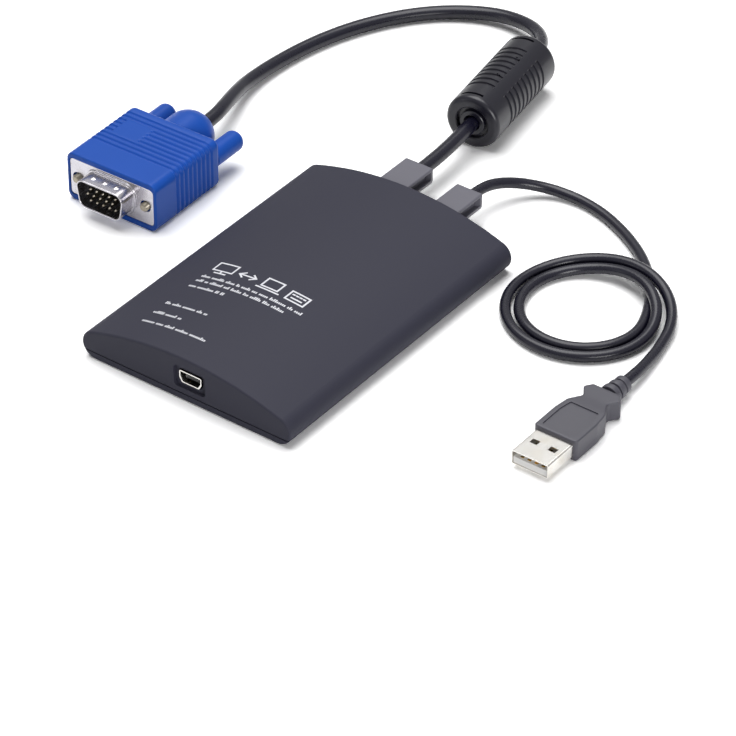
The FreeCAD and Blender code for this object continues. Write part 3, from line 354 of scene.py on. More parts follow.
FINISHES = {
    "housing": plastic("housing_slate", (51, 51, 63), 0.14, 3200.0, 0.010, 0.58, 0.12, specular=0.18),
    "boot": plastic("boot_grey", (98, 97, 107), 0.14, 2600.0, 0.006, 0.44, 0.14),
    "grip": plastic("grip_grey", (70, 69, 78), 0.16, 2800.0, 0.008, 0.46, 0.14),
    "cable": plastic("cable_vinyl", (18, 17, 33), 0.30, 1500.0, 0.004, 0.28, 0.14, specular=0.38),
    "choke_cover": plastic("choke_black", (16, 15, 28), 0.28, 2200.0, 0.006, 0.32, 0.14, specular=0.42),
    "hood": plastic("hood_blue", (24, 78, 172), 0.14, 2400.0, 0.004, 0.38, 0.12, specular=0.2),
    "insulator": plastic("insulator_black", (12, 12, 14), 0.3, 2600.0, 0.006, 0.45, 0.15),
    "insert": plastic("insert_white", (242, 241, 239), 0.08, 2600.0, 0.004, 0.40, 0.12),
    "chip": plastic("chip_epoxy", (26, 26, 28), 0.3, 5200.0, 0.010, 0.62, 0.14),
    "board": plastic("solder_mask", (24, 74, 46), 0.3, 900.0, 0.004, 0.32, 0.14),
    "wire": plastic("wire_sheath", (150, 60, 44), 0.2, 1800.0, 0.004, 0.45, 0.12),
    "ink": plastic("print_grey", (224, 225, 231), 0.10, 3200.0, 0.004, 0.55, 0.10),
    "ferrite": plastic("ferrite_ceramic", (52, 50, 50), 0.3, 1800.0, 0.02, 0.55, 0.2),
    "plating": metal("nickel_plate", (216, 214, 210), (178, 168, 148), 0.4, 0.0016, 0.22, 0.16),
    "drawn_plating": metal("drawn_nickel", (186, 184, 190), (150, 142, 132), 0.4, 0.0016, 0.26, 0.16),
    "steel": metal("zinc_steel", (150, 144, 132), (112, 98, 74), 0.5, 0.003, 0.30, 0.2),
    "gold": metal("contact_gold", (226, 186, 104), (190, 150, 84), 0.4, 0.0012, 0.24, 0.14),
}
print("finishes:", sorted(FINISHES))

# %% [markdown]
# The cables are the loosest part of the object, so they are laid early. A cable could be a mesh tube, but a
# curve with a round bevel bends smoothly and needs only a few points. The video cable leaves its boot,
# carries the choke and swings round to the plug on the left. The thin cable drops to the table and lies in
# two loose turns, which a short loop works out. Routes are in millimetres.

# %% Cables
VGA_CABLE_DIAMETER = 4.4
USB_CABLE_DIAMETER = 3.3
SPLINE_ORDER = 3
SPLINE_STEPS = 10
BEVEL_STEPS = 8
VGA_ROUTE = [
    (-8.0, 68.0, 8.0), (-8.0, 73.0, 8.0), (-8.3, 82.0, 8.2), (-9.5, 94.5, 8.6), (-13.1, 116.5, 8.75),
    (-16.8, 140.0, 8.5), (-20.8, 149.6, 7.0), (-29.8, 157.0, 4.9), (-43.2, 159.0, 3.2), (-57.0, 152.8, 2.4),
    (-67.6, 142.0, 2.3), (-75.6, 128.0, 2.3), (-80.7, 112.5, 2.3), (-82.9, 96.5, 2.5), (-82.4, 81.0, 3.6),
    (-78.6, 69.5, 6.3), (-75.3, 60.2, 7.9), (-73.951, 54.091, 8.15), (-73.864, 49.091, 8.15)]
USB_LEAD_IN = [
    (11.5, 66.0, 8.0), (11.5, 71.0, 8.0), (12.7, 77.6, 7.0), (16.6, 84.6, 4.8), (23.4, 89.8, 2.7),
    (32.0, 91.5, 1.75), (41.2, 90.0, 1.7), (49.8, 86.6, 1.7), (57.8, 82.2, 1.7), (65.2, 76.8, 1.7),
    (72.0, 69.6, 1.7), (78.0, 61.0, 1.7)]
USB_LEAD_OUT = [
    (92.2, 43.5, 1.8), (93.4, 36.4, 2.3), (94.2, 31.2, 3.0), (94.4, 28.1, 3.4), (94.4, 23.1, 3.4)]
COIL_CENTRE = (65.5, 46.8)
COIL_START_RADIUS = 17.4
COIL_GROWTH = 4.1
COIL_DRAW_IN = 1.6
COIL_START_ANGLE = 11.9
COIL_STEP = 24.62
COIL_POINTS = 30
COIL_CROSSINGS = (-295.8, -640.5)
COIL_HUMP = 3.5
COIL_HUMP_SLOPE = 0.4
COIL_LYING = 1.7


def coil_points():
    """Two growing turns that rise over the incoming lead at each crossing."""
    points = []
    for i in range(COIL_POINTS):
        angle = COIL_START_ANGLE - i * COIL_STEP
        steps_away = min(abs(angle - crossing) for crossing in COIL_CROSSINGS) / COIL_STEP
        lift = min(1.0, max(0.0, 1.0 - COIL_HUMP_SLOPE * (steps_away - 0.5)))
        radius = COIL_START_RADIUS + COIL_GROWTH * i * COIL_STEP / 360 - COIL_DRAW_IN * lift
        points.append((COIL_CENTRE[0] + radius * math.cos(math.radians(angle)),
                       COIL_CENTRE[1] + radius * math.sin(math.radians(angle)),
                       COIL_LYING + COIL_HUMP * lift))
    return points


def jacket(name, route, diameter, node):
    """A cable's jacket: a round tube along one smooth spline, with the route's points as control points."""
    data = bpy.data.curves.new(name, "CURVE")
    data.dimensions = "3D"
    data.resolution_u = SPLINE_STEPS
    data.bevel_depth = diameter / 2 * MM
    data.bevel_resolution = BEVEL_STEPS
    data.use_fill_caps = True
    spline = data.splines.new("NURBS")
    spline.points.add(len(route) - 1)
    for point, (x, y, z) in zip(spline.points, route):
        point.co = (x * MM, y * MM, z * MM, 1.0)
    spline.order_u = SPLINE_ORDER
    spline.use_endpoint_u = True
    data.materials.append(FINISHES["cable"])
    cable = add_object(name, data)
    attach(cable, "adapter")
    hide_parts(node)
    return cable


USB_ROUTE = USB_LEAD_IN + coil_points() + USB_LEAD_OUT
vga_jacket = jacket("vga_cable_jacket", VGA_ROUTE, VGA_CABLE_DIAMETER, "vga_cable")
usb_jacket = jacket("usb_cable_jacket", USB_ROUTE, USB_CABLE_DIAMETER, "usb_cable")
print("points:", len(VGA_ROUTE), "and", len(USB_ROUTE))

# %% [markdown]
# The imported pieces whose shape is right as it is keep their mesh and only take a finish: the two covers
# with their arched top and seam, the boots, the sockets, the USB plug's shell and everything inside the
# housing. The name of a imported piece's material is the name of its slot, so one loop dresses them all.

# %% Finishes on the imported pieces
for node in nodes.values():
    node.data.materials[0] = FINISHES[node.data.materials[0].name]
print("packed pieces with a finish:", len(nodes))

# %% [markdown]
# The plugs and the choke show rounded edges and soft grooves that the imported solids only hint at, so their
# outsides are made again as fine meshes at the same places. A bevel modifier could round the edges, but it
# stumbles where grooves and holes meet. So most pieces are skins through rings of points, and the rings
# already run round each edge. Each plug is modelled in its own millimetres, with +Y towards the cable, and
# then laid down with one matrix.

# %% Rings and profiles
EDGE_STEPS = 6


def rounded_ring(corners, steps, spans):
    """Points round an outline of corners (x, z, radius), with steps on a corner and spans on a side."""
    arcs = []
    for i, (x, z, radius) in enumerate(corners):
        here = Vector((x, z))
        before = (Vector(corners[i - 1][:2]) - here).normalized()
        after = (Vector(corners[(i + 1) % len(corners)][:2]) - here).normalized()
        half = before.angle(after) / 2
        centre = here + (before + after).normalized() * (radius / math.sin(half))
        first = here + before * (radius / math.tan(half)) - centre
        turn = math.copysign(math.pi - 2 * half, after.cross(before))
        arcs.append([centre + Matrix.Rotation(turn * k / steps, 2) @ first for k in range(steps + 1)])
    ring = []
    for i, arc in enumerate(arcs):
        ring += arc
        gap = arcs[(i + 1) % len(arcs)][0] - arc[-1]
        ring += [arc[-1] + gap * (k / spans[i]) for k in range(1, spans[i])]
    return ring


def ring_at(y, corners, steps, spans=(1, 1, 1, 1)):
    """The same ring, standing across the Y axis."""
    return [(x, y, z) for x, z in rounded_ring(corners, steps, spans)]


def rectangle(width, height, corner):
    w, h = width / 2, height / 2
    return [(-w, -h, corner), (w, -h, corner), (w, h, corner), (-w, h, corner)]


def rounded_edge(end, size, sign, steps=EDGE_STEPS):
    """Pairs of (inset, y) round an edge, from a side wall to the face at y = end, which looks to sign * Y."""
    turns = [math.pi / 2 * k / steps for k in range(steps + 1)]
    return [(size * (1 - math.cos(t)), end - sign * size * (1 - math.sin(t))) for t in turns]


def turned_edge(radius, *edge):
    """The same edge on a turned piece, as pairs of (radius, y)."""
    return [(radius - inset, y) for inset, y in rounded_edge(*edge)]


def lathe(profile, segments):
    """Rings about the Y axis from a profile of (radius, y)."""
    angles = [2 * math.pi * k / segments for k in range(segments)]
    return [[(r * math.cos(a), y, r * math.sin(a)) for a in angles] for r, y in profile]


print("points round one edge:", len(rounded_edge(0.0, 1.0, 1)))

# %% [markdown]
# A skin through rings becomes an object once its doubled points are merged and its faces point outwards.
# Booleans cut pockets and join domes, which is far simpler than to weave such a mesh by hand. They leave
# slivers, so the result is merged again and turned into a plain mesh before the piece is laid in its place.

# %% Skins and solids
WELD = 3e-4
SHARP_ANGLE = 32.0


def skin(rings, loop=False):
    """Points and faces of a skin through equal rings. It is capped, or joined end to end by loop."""
    count, last = len(rings[0]), len(rings) - 1
    points = [p for ring in rings for p in ring]
    faces = []
    for r in range(len(rings) if loop else last):
        here, there = r * count, (r + 1) % len(rings) * count
        for k in range(count):
            n = (k + 1) % count
            faces.append((here + k, here + n, there + n, there + k))
    if not loop:
        faces += [tuple(range(count)), tuple(range(last * count, (last + 1) * count))]
    return points, faces


def weld(build):
    """Merges points that lie together, removes slivers, and hands back the faces that are left."""
    bmesh.ops.remove_doubles(build, verts=build.verts, dist=WELD)
    bmesh.ops.dissolve_degenerate(build, edges=build.edges, dist=WELD)
    return build.faces


def solid(name, *skins):
    """An object with one or more skins, merged and facing outwards."""
    mesh = bpy.data.meshes.new(name)
    build = bmesh.new()
    for points, faces in skins:
        verts = [build.verts.new(p) for p in points]
        for face in faces:
            build.faces.new([verts[k] for k in face])
    bmesh.ops.recalc_face_normals(build, faces=weld(build))
    build.to_mesh(mesh)
    build.free()
    return add_object(name, mesh)


def settle(piece):
    """Turns the result of a piece's modifiers into a plain mesh."""
    bpy.context.view_layer.update()
    shaped = piece.evaluated_get(bpy.context.evaluated_depsgraph_get())
    mesh = bpy.data.meshes.new_from_object(shaped)
    piece.modifiers.clear()
    piece.data = mesh


def combine(piece, tool, operation):
    """Cuts a tool out of a piece, or joins it on."""
    step = piece.modifiers.new("combine", "BOOLEAN")
    step.object, step.operation, step.solver = tool, operation, "EXACT"
    settle(piece)
    bpy.data.objects.remove(tool)
    build = bmesh.new()
    build.from_mesh(piece.data)
    weld(build)
    build.to_mesh(piece.data)
    build.free()


def lay(piece, place, slot, body, *replaced, sharp=SHARP_ANGLE, finish_name=None):
    """Gives a piece its place, shading, finish and body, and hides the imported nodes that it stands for."""
    piece.data.transform(place)
    piece.data.materials.clear()
    piece.data.materials.append(FINISHES[finish_name or slot])
    piece.data.shade_smooth()
    piece.data.set_sharp_from_angle(angle=math.radians(sharp))
    piece.modifiers.new("flat_faces_lead", "WEIGHTED_NORMAL").keep_sharp = True
    settle(piece)
    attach(piece, body)
    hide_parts(*replaced)
    print(piece.name, "faces:", len(piece.data.polygons))
    return piece


print("points closer than this in mm are merged:", WELD)

# %% [markdown]
# Grooves repeat at an even pitch on the hood and on the choke. They could be cut one by one, but a geometry
# tree presses all of them in at once and works for both pieces. It reads how far along Y a point is, finds
# the nearest groove, and pushes the point in along its normal. A number stored on the points, carve, says
# where grooves are allowed: it is 0 on the thumb panel and on the choke's smooth bands.

# %% Groove tree
GEOMETRY, MATERIAL = "NodeSocketGeometry", "NodeSocketMaterial"


def run_tree(piece, tree, values):
    """Runs a geometry tree on a piece with these values for its named inputs."""
    step = piece.modifiers.new(tree.name, "NODES")
    step.node_group = tree
    for item in tree.interface.items_tree:
        if item.in_out == "INPUT" and item.name in values:
            step[item.identifier] = values[item.name]
    settle(piece)


def end_tree(tree, shape, given, out):
    """The last steps of every tree: plain geometry with its material."""
    real = add(tree, "GeometryNodeRealizeInstances", {"Geometry": shape}).outputs[0]
    dressed = add(tree, "GeometryNodeSetMaterial", {"Geometry": real, "Material": given["Material"]})
    tree.links.new(dressed.outputs[0], out["Geometry"])
    return tree


def groove_tree():
    tree, given, out = group("GeometryNodeTree", "pressed_grooves", [
        ("Geometry", GEOMETRY, None), ("First", FLOAT, 0.0), ("Pitch", FLOAT, 2.0), ("Count", FLOAT, 9.0),
        ("Width", FLOAT, 1.0), ("Softness", FLOAT, 0.2), ("Depth", FLOAT, 0.5),
        ("Material", MATERIAL, None)], [("Geometry", GEOMETRY)])
    spot = add(tree, "GeometryNodeInputPosition").outputs[0]
    across = add(tree, "ShaderNodeSeparateXYZ", {0: spot}).outputs["Y"]
    along = calc(tree, "SUBTRACT", across, given["First"])
    nearest = calc(tree, "ROUND", calc(tree, "DIVIDE", along, given["Pitch"]))
    nearest = calc(tree, "MINIMUM", nearest, calc(tree, "SUBTRACT", given["Count"], 1.0))
    nearest = calc(tree, "MAXIMUM", nearest, 0.0)
    away = calc(tree, "SUBTRACT", along, calc(tree, "MULTIPLY", nearest, given["Pitch"]))
    half = calc(tree, "MULTIPLY", given["Width"], 0.5)
    floor_end = calc(tree, "SUBTRACT", half, given["Softness"])
    wall_end = calc(tree, "ADD", half, given["Softness"])
    shape = ramp(tree, calc(tree, "ABSOLUTE", away), floor_end, wall_end, 1.0, 0.0,
                 interpolation_type="SMOOTHSTEP")
    allowed = add(tree, "GeometryNodeInputNamedAttribute", {"Name": "carve"}, data_type="FLOAT").outputs[0]
    depth = calc(tree, "MULTIPLY", calc(tree, "MULTIPLY", shape, allowed), given["Depth"])
    normal = add(tree, "GeometryNodeInputNormal").outputs[0]
    inward = add(tree, "ShaderNodeVectorMath", {0: normal, "Scale": calc(tree, "MULTIPLY", depth, -1.0)},
                 operation="SCALE").outputs[0]
    moved = add(tree, "GeometryNodeSetPosition", {"Geometry": given["Geometry"], "Offset": inward})
    return end_tree(tree, moved.outputs[0], given, out)


def allow_grooves(piece, share):
    """Stores carve on each point: how much of a groove share(x, y, z) leaves there."""
    piece.data.shade_smooth()
    carve = piece.data.attributes.new("carve", "FLOAT", "POINT")
    carve.data.foreach_set("value", [share(*v.co) for v in piece.data.vertices])


GROOVES = groove_tree()
print("groove tree nodes:", len(GROOVES.nodes))

# %% [markdown]
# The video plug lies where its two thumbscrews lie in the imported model: halfway between their axes is the
# middle of its front. The place could be typed in, but read from the model it stays right if the model is
# packed again.


# %% Video plug: place
def box_in(place, node):
    """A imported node's lowest and highest corner in a plug's own millimetres."""
    points = [place.inverted() @ v.co for v in nodes[node].data.vertices]
    return [Vector([pick(p[k] for p in points) for k in range(3)]) for pick in (min, max)]


turns = {joint["name"]: joint for joint in frame["joints"]}
screw_axes = [turns[side + "_thumbscrew_turn"] for side in ("left", "right")]
left_screw, right_screw = (Vector(joint["pos_m"]) for joint in screw_axes)
plug_axis = Vector(screw_axes[0]["axis"])
VGA_PLACE = (Matrix.Translation((left_screw + right_screw) / 2)
             @ Matrix.Rotation(math.atan2(-plug_axis.x, plug_axis.y), 4, "Z") @ Matrix.Scale(MM, 4))
SCREW_X = (right_screw - left_screw).length / MM / 2
hood_low, hood_high = box_in(VGA_PLACE, "vga_hood")
flange_low, flange_high = box_in(VGA_PLACE, "vga_front_shell")
FLANGE_WIDTH, FLANGE_HEIGHT = flange_high.x - flange_low.x, flange_high.z - flange_low.z
FLANGE_CORNER = 1.3
print("thumbscrews from the middle in mm:", round(SCREW_X, 2))

# %% [markdown]
# The hood is one blue moulding round the plug: a rounded block with nine grip grooves, four of which stop
# at a smooth thumb panel. A pocket in its front holds the metal shell. The block is a skin through rounded
# rectangles, close together where the grooves are pressed in, so that the grooves get fine walls and the
# flat parts stay light.

# %% Video plug: grooved block of the hood
HOOD_WIDTH, HOOD_HEIGHT = hood_high.x - hood_low.x, hood_high.z - hood_low.z
HOOD_LENGTH = 30.6
HOOD_CORNER = 2.6
HOOD_REAR_EDGE = 1.4
HOOD_REAR_STEPS = 8
HOOD_FRONT_EDGE = 0.5
POCKET_GAP = 0.1
GROOVE_COUNT = 9
GROOVE_FIRST = 10.225
GROOVE_PITCH = 2.05
GROOVE_WIDTH = 0.95
GROOVE_SOFTNESS = 0.26
GROOVE_DEPTH = 0.5
GROOVE_RINGS = 5
PANEL_FIRST, PANEL_LAST = 3, 6
PANEL_LEFT, PANEL_RIGHT = hood_low.x + 4.2, hood_low.x + 13.9
PANEL_SOFTNESS = 0.45
BLOCK_STEPS, BLOCK_SPANS = 8, (40, 22, 140, 22)


def hood_ring(y, inset):
    outline = rectangle(HOOD_WIDTH - 2 * inset, HOOD_HEIGHT - 2 * inset, HOOD_CORNER - inset)
    return ring_at(y, outline, BLOCK_STEPS, BLOCK_SPANS)


def hood_block():
    pocket = rectangle(FLANGE_WIDTH + 2 * POCKET_GAP, FLANGE_HEIGHT + 2 * POCKET_GAP, FLANGE_CORNER)
    rings = [ring_at(y, pocket, BLOCK_STEPS, BLOCK_SPANS) for y in (flange_high.y, 0.0)]
    rings += [hood_ring(y, inset) for inset, y in rounded_edge(0.0, HOOD_FRONT_EDGE, -1)[::-1]]
    reach = GROOVE_WIDTH / 2 + GROOVE_SOFTNESS
    for i in range(GROOVE_COUNT):
        middle = GROOVE_FIRST + i * GROOVE_PITCH
        stations = range(-GROOVE_RINGS, GROOVE_RINGS + 1)
        rings += [hood_ring(middle + k * reach / GROOVE_RINGS, 0.0) for k in stations]
    rear = rounded_edge(HOOD_LENGTH, HOOD_REAR_EDGE, 1, HOOD_REAR_STEPS)
    rings += [hood_ring(y, inset) for inset, y in rear]
    return solid("vga_hood_moulding", skin(rings))


def smooth_step(value, low, high):
    t = min(1.0, max(0.0, (value - low) / (high - low)))
    return t * t * (3 - 2 * t)


def groove_share(x, y, z):
    """No groove on the thumb panel, which lies on the top between two of the grooves."""
    first = GROOVE_FIRST + (PANEL_FIRST - 0.5) * GROOVE_PITCH
    last = GROOVE_FIRST + (PANEL_LAST + 0.5) * GROOVE_PITCH
    if z < 0 or not first < y < last:
        return 1.0
    outside_left = smooth_step(PANEL_LEFT - x, -PANEL_SOFTNESS, PANEL_SOFTNESS)
    return max(outside_left, smooth_step(x - PANEL_RIGHT, -PANEL_SOFTNESS, PANEL_SOFTNESS))


hood = hood_block()
allow_grooves(hood, groove_share)
run_tree(hood, GROOVES, {"First": GROOVE_FIRST, "Pitch": GROOVE_PITCH, "Count": float(GROOVE_COUNT),
                         "Width": GROOVE_WIDTH, "Softness": GROOVE_SOFTNESS, "Depth": GROOVE_DEPTH,
                         "Material": FINISHES["hood"]})
print("grooved block faces:", len(hood.data.polygons))

# %% [markdown]
# A round dome grows out of the hood's back, where the cable leaves. A ball joined on would have to be
# trimmed, so the dome is turned about the cable's axis from its own profile. Then the hollow parts are cut:
# the place of the insulator, which has the plug's D shape, and two screw bores.

# %% Video plug: dome and bores
DOME_RADIUS = 7.9
DOME_CENTRE = HOOD_LENGTH + 5.8
DOME_END = hood_high.y
DOME_SINK = 3.0
DOME_MOUTH_EDGE = 0.35
DOME_STEPS, DOME_SEGMENTS = 24, 96
BORE_RADIUS = 1.52
BORE_START = 0.5
BORE_SEGMENTS = 40
CUT_PAST = 1.0
INSULATOR_REAR = 7.7
D_WIDTH, D_HEIGHT = 16.92, 8.36
D_SLANT = math.radians(10.0)
D_CORNER = 2.2
D_STEPS = 8
HOOD_SHARP_ANGLE = 60.0


def hood_dome():
    last = math.asin((DOME_END - DOME_CENTRE) / DOME_RADIUS)
    angles = [last * k / DOME_STEPS for k in range(DOME_STEPS + 1)]
    mouth = DOME_RADIUS * math.cos(last)
    bore = VGA_CABLE_DIAMETER / 2
    profile = [(0.0, HOOD_LENGTH - DOME_SINK), (DOME_RADIUS, HOOD_LENGTH - DOME_SINK)]
    profile += [(DOME_RADIUS * math.cos(a), DOME_CENTRE + DOME_RADIUS * math.sin(a)) for a in angles]
    profile += [(mouth - DOME_MOUTH_EDGE, DOME_END), (bore, DOME_END - DOME_MOUTH_EDGE),
                (bore, DOME_END - DOME_SINK), (0.0, DOME_END - DOME_SINK)]
    return solid("dome", skin(lathe(profile, DOME_SEGMENTS)))


def d_outline(grow):
    """The D shape of the plug's skirt, wide side up, grown by a wall."""
    w, h = D_WIDTH / 2 + grow, D_HEIGHT / 2 + grow
    foot = w - 2 * h * math.tan(D_SLANT)
    corner = D_CORNER + grow
    return [(-foot, -h, corner), (foot, -h, corner), (w, h, corner), (-w, h, corner)]


def shifted(points_and_faces, x):
    points, faces = points_and_faces
    return [(p[0] + x, p[1], p[2]) for p in points], faces


def plug_bores():
    middle = skin([ring_at(y, d_outline(0.0), D_STEPS) for y in (BORE_START, INSULATOR_REAR)])
    ends = [(BORE_RADIUS, BORE_START), (BORE_RADIUS, HOOD_LENGTH + CUT_PAST)]
    bore = skin(lathe(ends, BORE_SEGMENTS))
    return solid("bores", middle, shifted(bore, -SCREW_X), shifted(bore, SCREW_X))


combine(hood, hood_dome(), "UNION")
combine(hood, plug_bores(), "DIFFERENCE")
lay(hood, VGA_PLACE, "hood", "adapter", "vga_hood", sharp=HOOD_SHARP_ANGLE)

# %% [markdown]
# The plug's front shell is one drawing of nickel-plated sheet: a flange, a raised foot, and a D-shaped
# skirt with a rounded lip. Three small bumps on the skirt press against the socket. Separate parts would
# show joints, so one skin runs from the flange's back over its front, out along the skirt, round the lip
# and back inside, and closes on itself. The bumps only lift points of the rings that pass them.

# %% Video plug: front shell
D_SHEET = 0.5
FOOT_WALL = D_SHEET + 0.7
FOOT_EDGE = 0.3
INNER_BEND = 0.2
FLANGE_FRONT = 0.2
FLANGE_EDGE = 0.28
SKIRT_END = flange_low.y
SKIRT_STATIONS = 44
LIP_STEPS = 12
FOOT_FRONT = FLANGE_FRONT - 0.5
BUMPS = 3
BUMP_PITCH = 4.2
BUMP_RADIUS = 1.0
BUMP_PROUD = 0.3
BUMP_Y = FLANGE_FRONT - 2.95
TOP_TOLERANCE = 0.01
SCREW_HOLE_RADIUS = 1.9
SCREW_HOLE_FRONT, SCREW_HOLE_BACK = -0.2, 1.6
SCREW_HOLE_SEGMENTS = 48
SHELL_STEPS, SHELL_SPANS = 10, (36, 16, 92, 16)


def shell_ring(y, corners):
    return ring_at(y, corners, SHELL_STEPS, SHELL_SPANS)


def flange_ring(y, inset):
    outline = rectangle(FLANGE_WIDTH - 2 * inset, FLANGE_HEIGHT - 2 * inset, FLANGE_CORNER - inset)
    return shell_ring(y, outline)


def inner_bend(front, wall):
    """The bend from a face that looks forward into a wall that runs forward."""
    bend = rounded_edge(0.0, INNER_BEND, 1)
    return [shell_ring(front - inward, d_outline(wall - along)) for inward, along in bend]


def bump(x, y):
    """How far the skirt's top stands out at a point."""
    nearest = min(abs(x - (i - (BUMPS - 1) / 2) * BUMP_PITCH) for i in range(BUMPS))
    away = min(math.hypot(nearest, y - BUMP_Y) / BUMP_RADIUS, 1.0)
    return BUMP_PROUD * (0.5 + 0.5 * math.cos(math.pi * away))


def skirt_ring(y):
    top = D_HEIGHT / 2 + D_SHEET - TOP_TOLERANCE
    return [(x, y, z + bump(x, y) if z > top else z) for x, y, z in shell_ring(y, d_outline(D_SHEET))]


def front_shell():
    rings = [flange_ring(flange_high.y, 0.0)]
    rings += [flange_ring(y, inset) for inset, y in rounded_edge(FLANGE_FRONT, FLANGE_EDGE, -1)]
    rings += inner_bend(FLANGE_FRONT, FOOT_WALL)
    foot_edge = rounded_edge(FOOT_FRONT, FOOT_EDGE, -1)
    rings += [shell_ring(y, d_outline(FOOT_WALL - inset)) for inset, y in foot_edge]
    rings += inner_bend(FOOT_FRONT, D_SHEET)
    lip = D_SHEET / 2
    start, end = FOOT_FRONT - INNER_BEND, SKIRT_END + lip
    rings += [skirt_ring(start + (end - start) * k / SKIRT_STATIONS) for k in range(1, SKIRT_STATIONS)]
    for k in range(LIP_STEPS + 1):
        turn = math.pi * k / LIP_STEPS
        rings.append(shell_ring(end - lip * math.sin(turn), d_outline(lip + lip * math.cos(turn))))
    rings += [shell_ring(y, d_outline(0.0)) for y in (0.0, flange_high.y)]
    return solid("vga_front_sheet", skin(rings, loop=True))


def screw_holes():
    ends = [(SCREW_HOLE_RADIUS, SCREW_HOLE_FRONT), (SCREW_HOLE_RADIUS, SCREW_HOLE_BACK)]
    hole = skin(lathe(ends, SCREW_HOLE_SEGMENTS))
    return solid("holes", shifted(hole, -SCREW_X), shifted(hole, SCREW_X))


shell = front_shell()
combine(shell, screw_holes(), "DIFFERENCE")
lay(shell, VGA_PLACE, "plating", "adapter", "vga_front_shell", finish_name="drawn_plating")

# %% [markdown]
# Inside the skirt stand fifteen pins in three rows, the middle row set half a step aside. Each could be an
# object, but they are all the same. So one is turned and a geometry tree copies it onto a grid. The
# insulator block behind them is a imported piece.

# %% Video plug: pins
PIN_RADIUS = 0.38
PIN_REACH = 4.8
PIN_POINT = 0.3
PIN_SEGMENTS = 24
PIN_COLUMNS, PIN_ROWS = 5, 3
PIN_PITCH, PIN_ROW_PITCH = 2.29, 1.98


def pin_tree():
    tree, given, out = group("GeometryNodeTree", "pin_field", [
        ("Geometry", GEOMETRY, None), ("Pin", "NodeSocketObject", None), ("Columns", "NodeSocketInt", 5),
        ("Rows", "NodeSocketInt", 3), ("Pitch", FLOAT, 2.0), ("Row Pitch", FLOAT, 2.0),
        ("Material", MATERIAL, None)], [("Geometry", GEOMETRY)])
    width = calc(tree, "MULTIPLY", given["Pitch"], calc(tree, "SUBTRACT", given["Columns"], 1.0))
    height = calc(tree, "MULTIPLY", given["Row Pitch"], calc(tree, "SUBTRACT", given["Rows"], 1.0))
    grid = add(tree, "GeometryNodeMeshGrid", {
        "Size X": width, "Size Y": height, "Vertices X": given["Columns"], "Vertices Y": given["Rows"]})
    spot = add(tree, "ShaderNodeSeparateXYZ", {0: add(tree, "GeometryNodeInputPosition").outputs[0]}).outputs
    row = calc(tree, "ROUND", calc(tree, "DIVIDE", spot["Y"], given["Row Pitch"]))
    aside = calc(tree, "MULTIPLY_ADD", calc(tree, "ABSOLUTE", row), 0.5, -0.25)
    across = calc(tree, "MULTIPLY_ADD", aside, given["Pitch"], spot["X"])
    stood = add(tree, "ShaderNodeCombineXYZ", {"X": across, "Y": 0.0, "Z": spot["Y"]}).outputs[0]
    places = add(tree, "GeometryNodeSetPosition", {"Geometry": grid.outputs[0], "Position": stood}).outputs[0]
    pin = add(tree, "GeometryNodeObjectInfo", {"Object": given["Pin"]}, transform_space="RELATIVE")
    copies = add(tree, "GeometryNodeInstanceOnPoints",
                 {"Points": places, "Instance": pin.outputs["Geometry"]})
    return end_tree(tree, copies.outputs[0], given, out)


one_pin = solid("pin", skin(lathe([(PIN_RADIUS, INSULATOR_REAR), (PIN_RADIUS, PIN_POINT - PIN_REACH),
                                   (PIN_RADIUS / 2, -PIN_REACH)], PIN_SEGMENTS)))
pins = solid("vga_pin_field")
run_tree(pins, pin_tree(), {"Pin": one_pin, "Columns": PIN_COLUMNS, "Rows": PIN_ROWS, "Pitch": PIN_PITCH,
                            "Row Pitch": PIN_ROW_PITCH, "Material": FINISHES["steel"]})
bpy.data.objects.remove(one_pin)
lay(pins, VGA_PLACE, "plating", "adapter", "vga_pins", finish_name="steel")

# %% [markdown]
# Two thumbscrews run through the hood. Each is a steel shaft with a rolled thread at its tip, and a smooth
# blue knob behind the hood. They ride on their own bodies, so they turn in the poses. A screw modifier
# could sweep the thread, but its ends would be open. Here the radius of each ring's points follows a helix,
# and the shaft stays one skin.

# %% Thumbscrews
SHAFT_RADIUS = 1.42
SHAFT_TIP = -1.2
SHAFT_POINT = 0.5
THREAD_PITCH = 0.635
THREAD_DEPTH = 0.26
THREAD_END = 7.0
THREAD_SEGMENTS, THREAD_STATIONS = 40, 12
KNOB_RADIUS = 3.3
KNOB_FRONT = 30.9
KNOB_END = KNOB_FRONT + 13.2
KNOB_END_ROUND = 2.2
KNOB_END_STEPS = 12
KNOB_EDGE = 0.4
KNOB_SEGMENTS = 72
SHAFT_END = KNOB_FRONT + 8.0


def threaded_shaft(name):
    rings = []
    for k in range(int((THREAD_END - SHAFT_TIP) / THREAD_PITCH * THREAD_STATIONS) + 1):
        y = SHAFT_TIP + k * THREAD_PITCH / THREAD_STATIONS
        most = SHAFT_RADIUS - max(0.0, SHAFT_TIP + SHAFT_POINT - y)
        fade = min(1.0, (THREAD_END - y) / THREAD_PITCH)
        ring = []
        for s in range(THREAD_SEGMENTS):
            phase = (y / THREAD_PITCH - s / THREAD_SEGMENTS) % 1.0
            radius = min(most, SHAFT_RADIUS - THREAD_DEPTH * fade * (1.0 - abs(2 * phase - 1.0)))
            angle = 2 * math.pi * s / THREAD_SEGMENTS
            ring.append((radius * math.cos(angle), y, radius * math.sin(angle)))
        rings.append(ring)
    rings += lathe([(SHAFT_RADIUS, THREAD_END), (SHAFT_RADIUS, SHAFT_END)], THREAD_SEGMENTS)
    return solid(name, skin(rings))


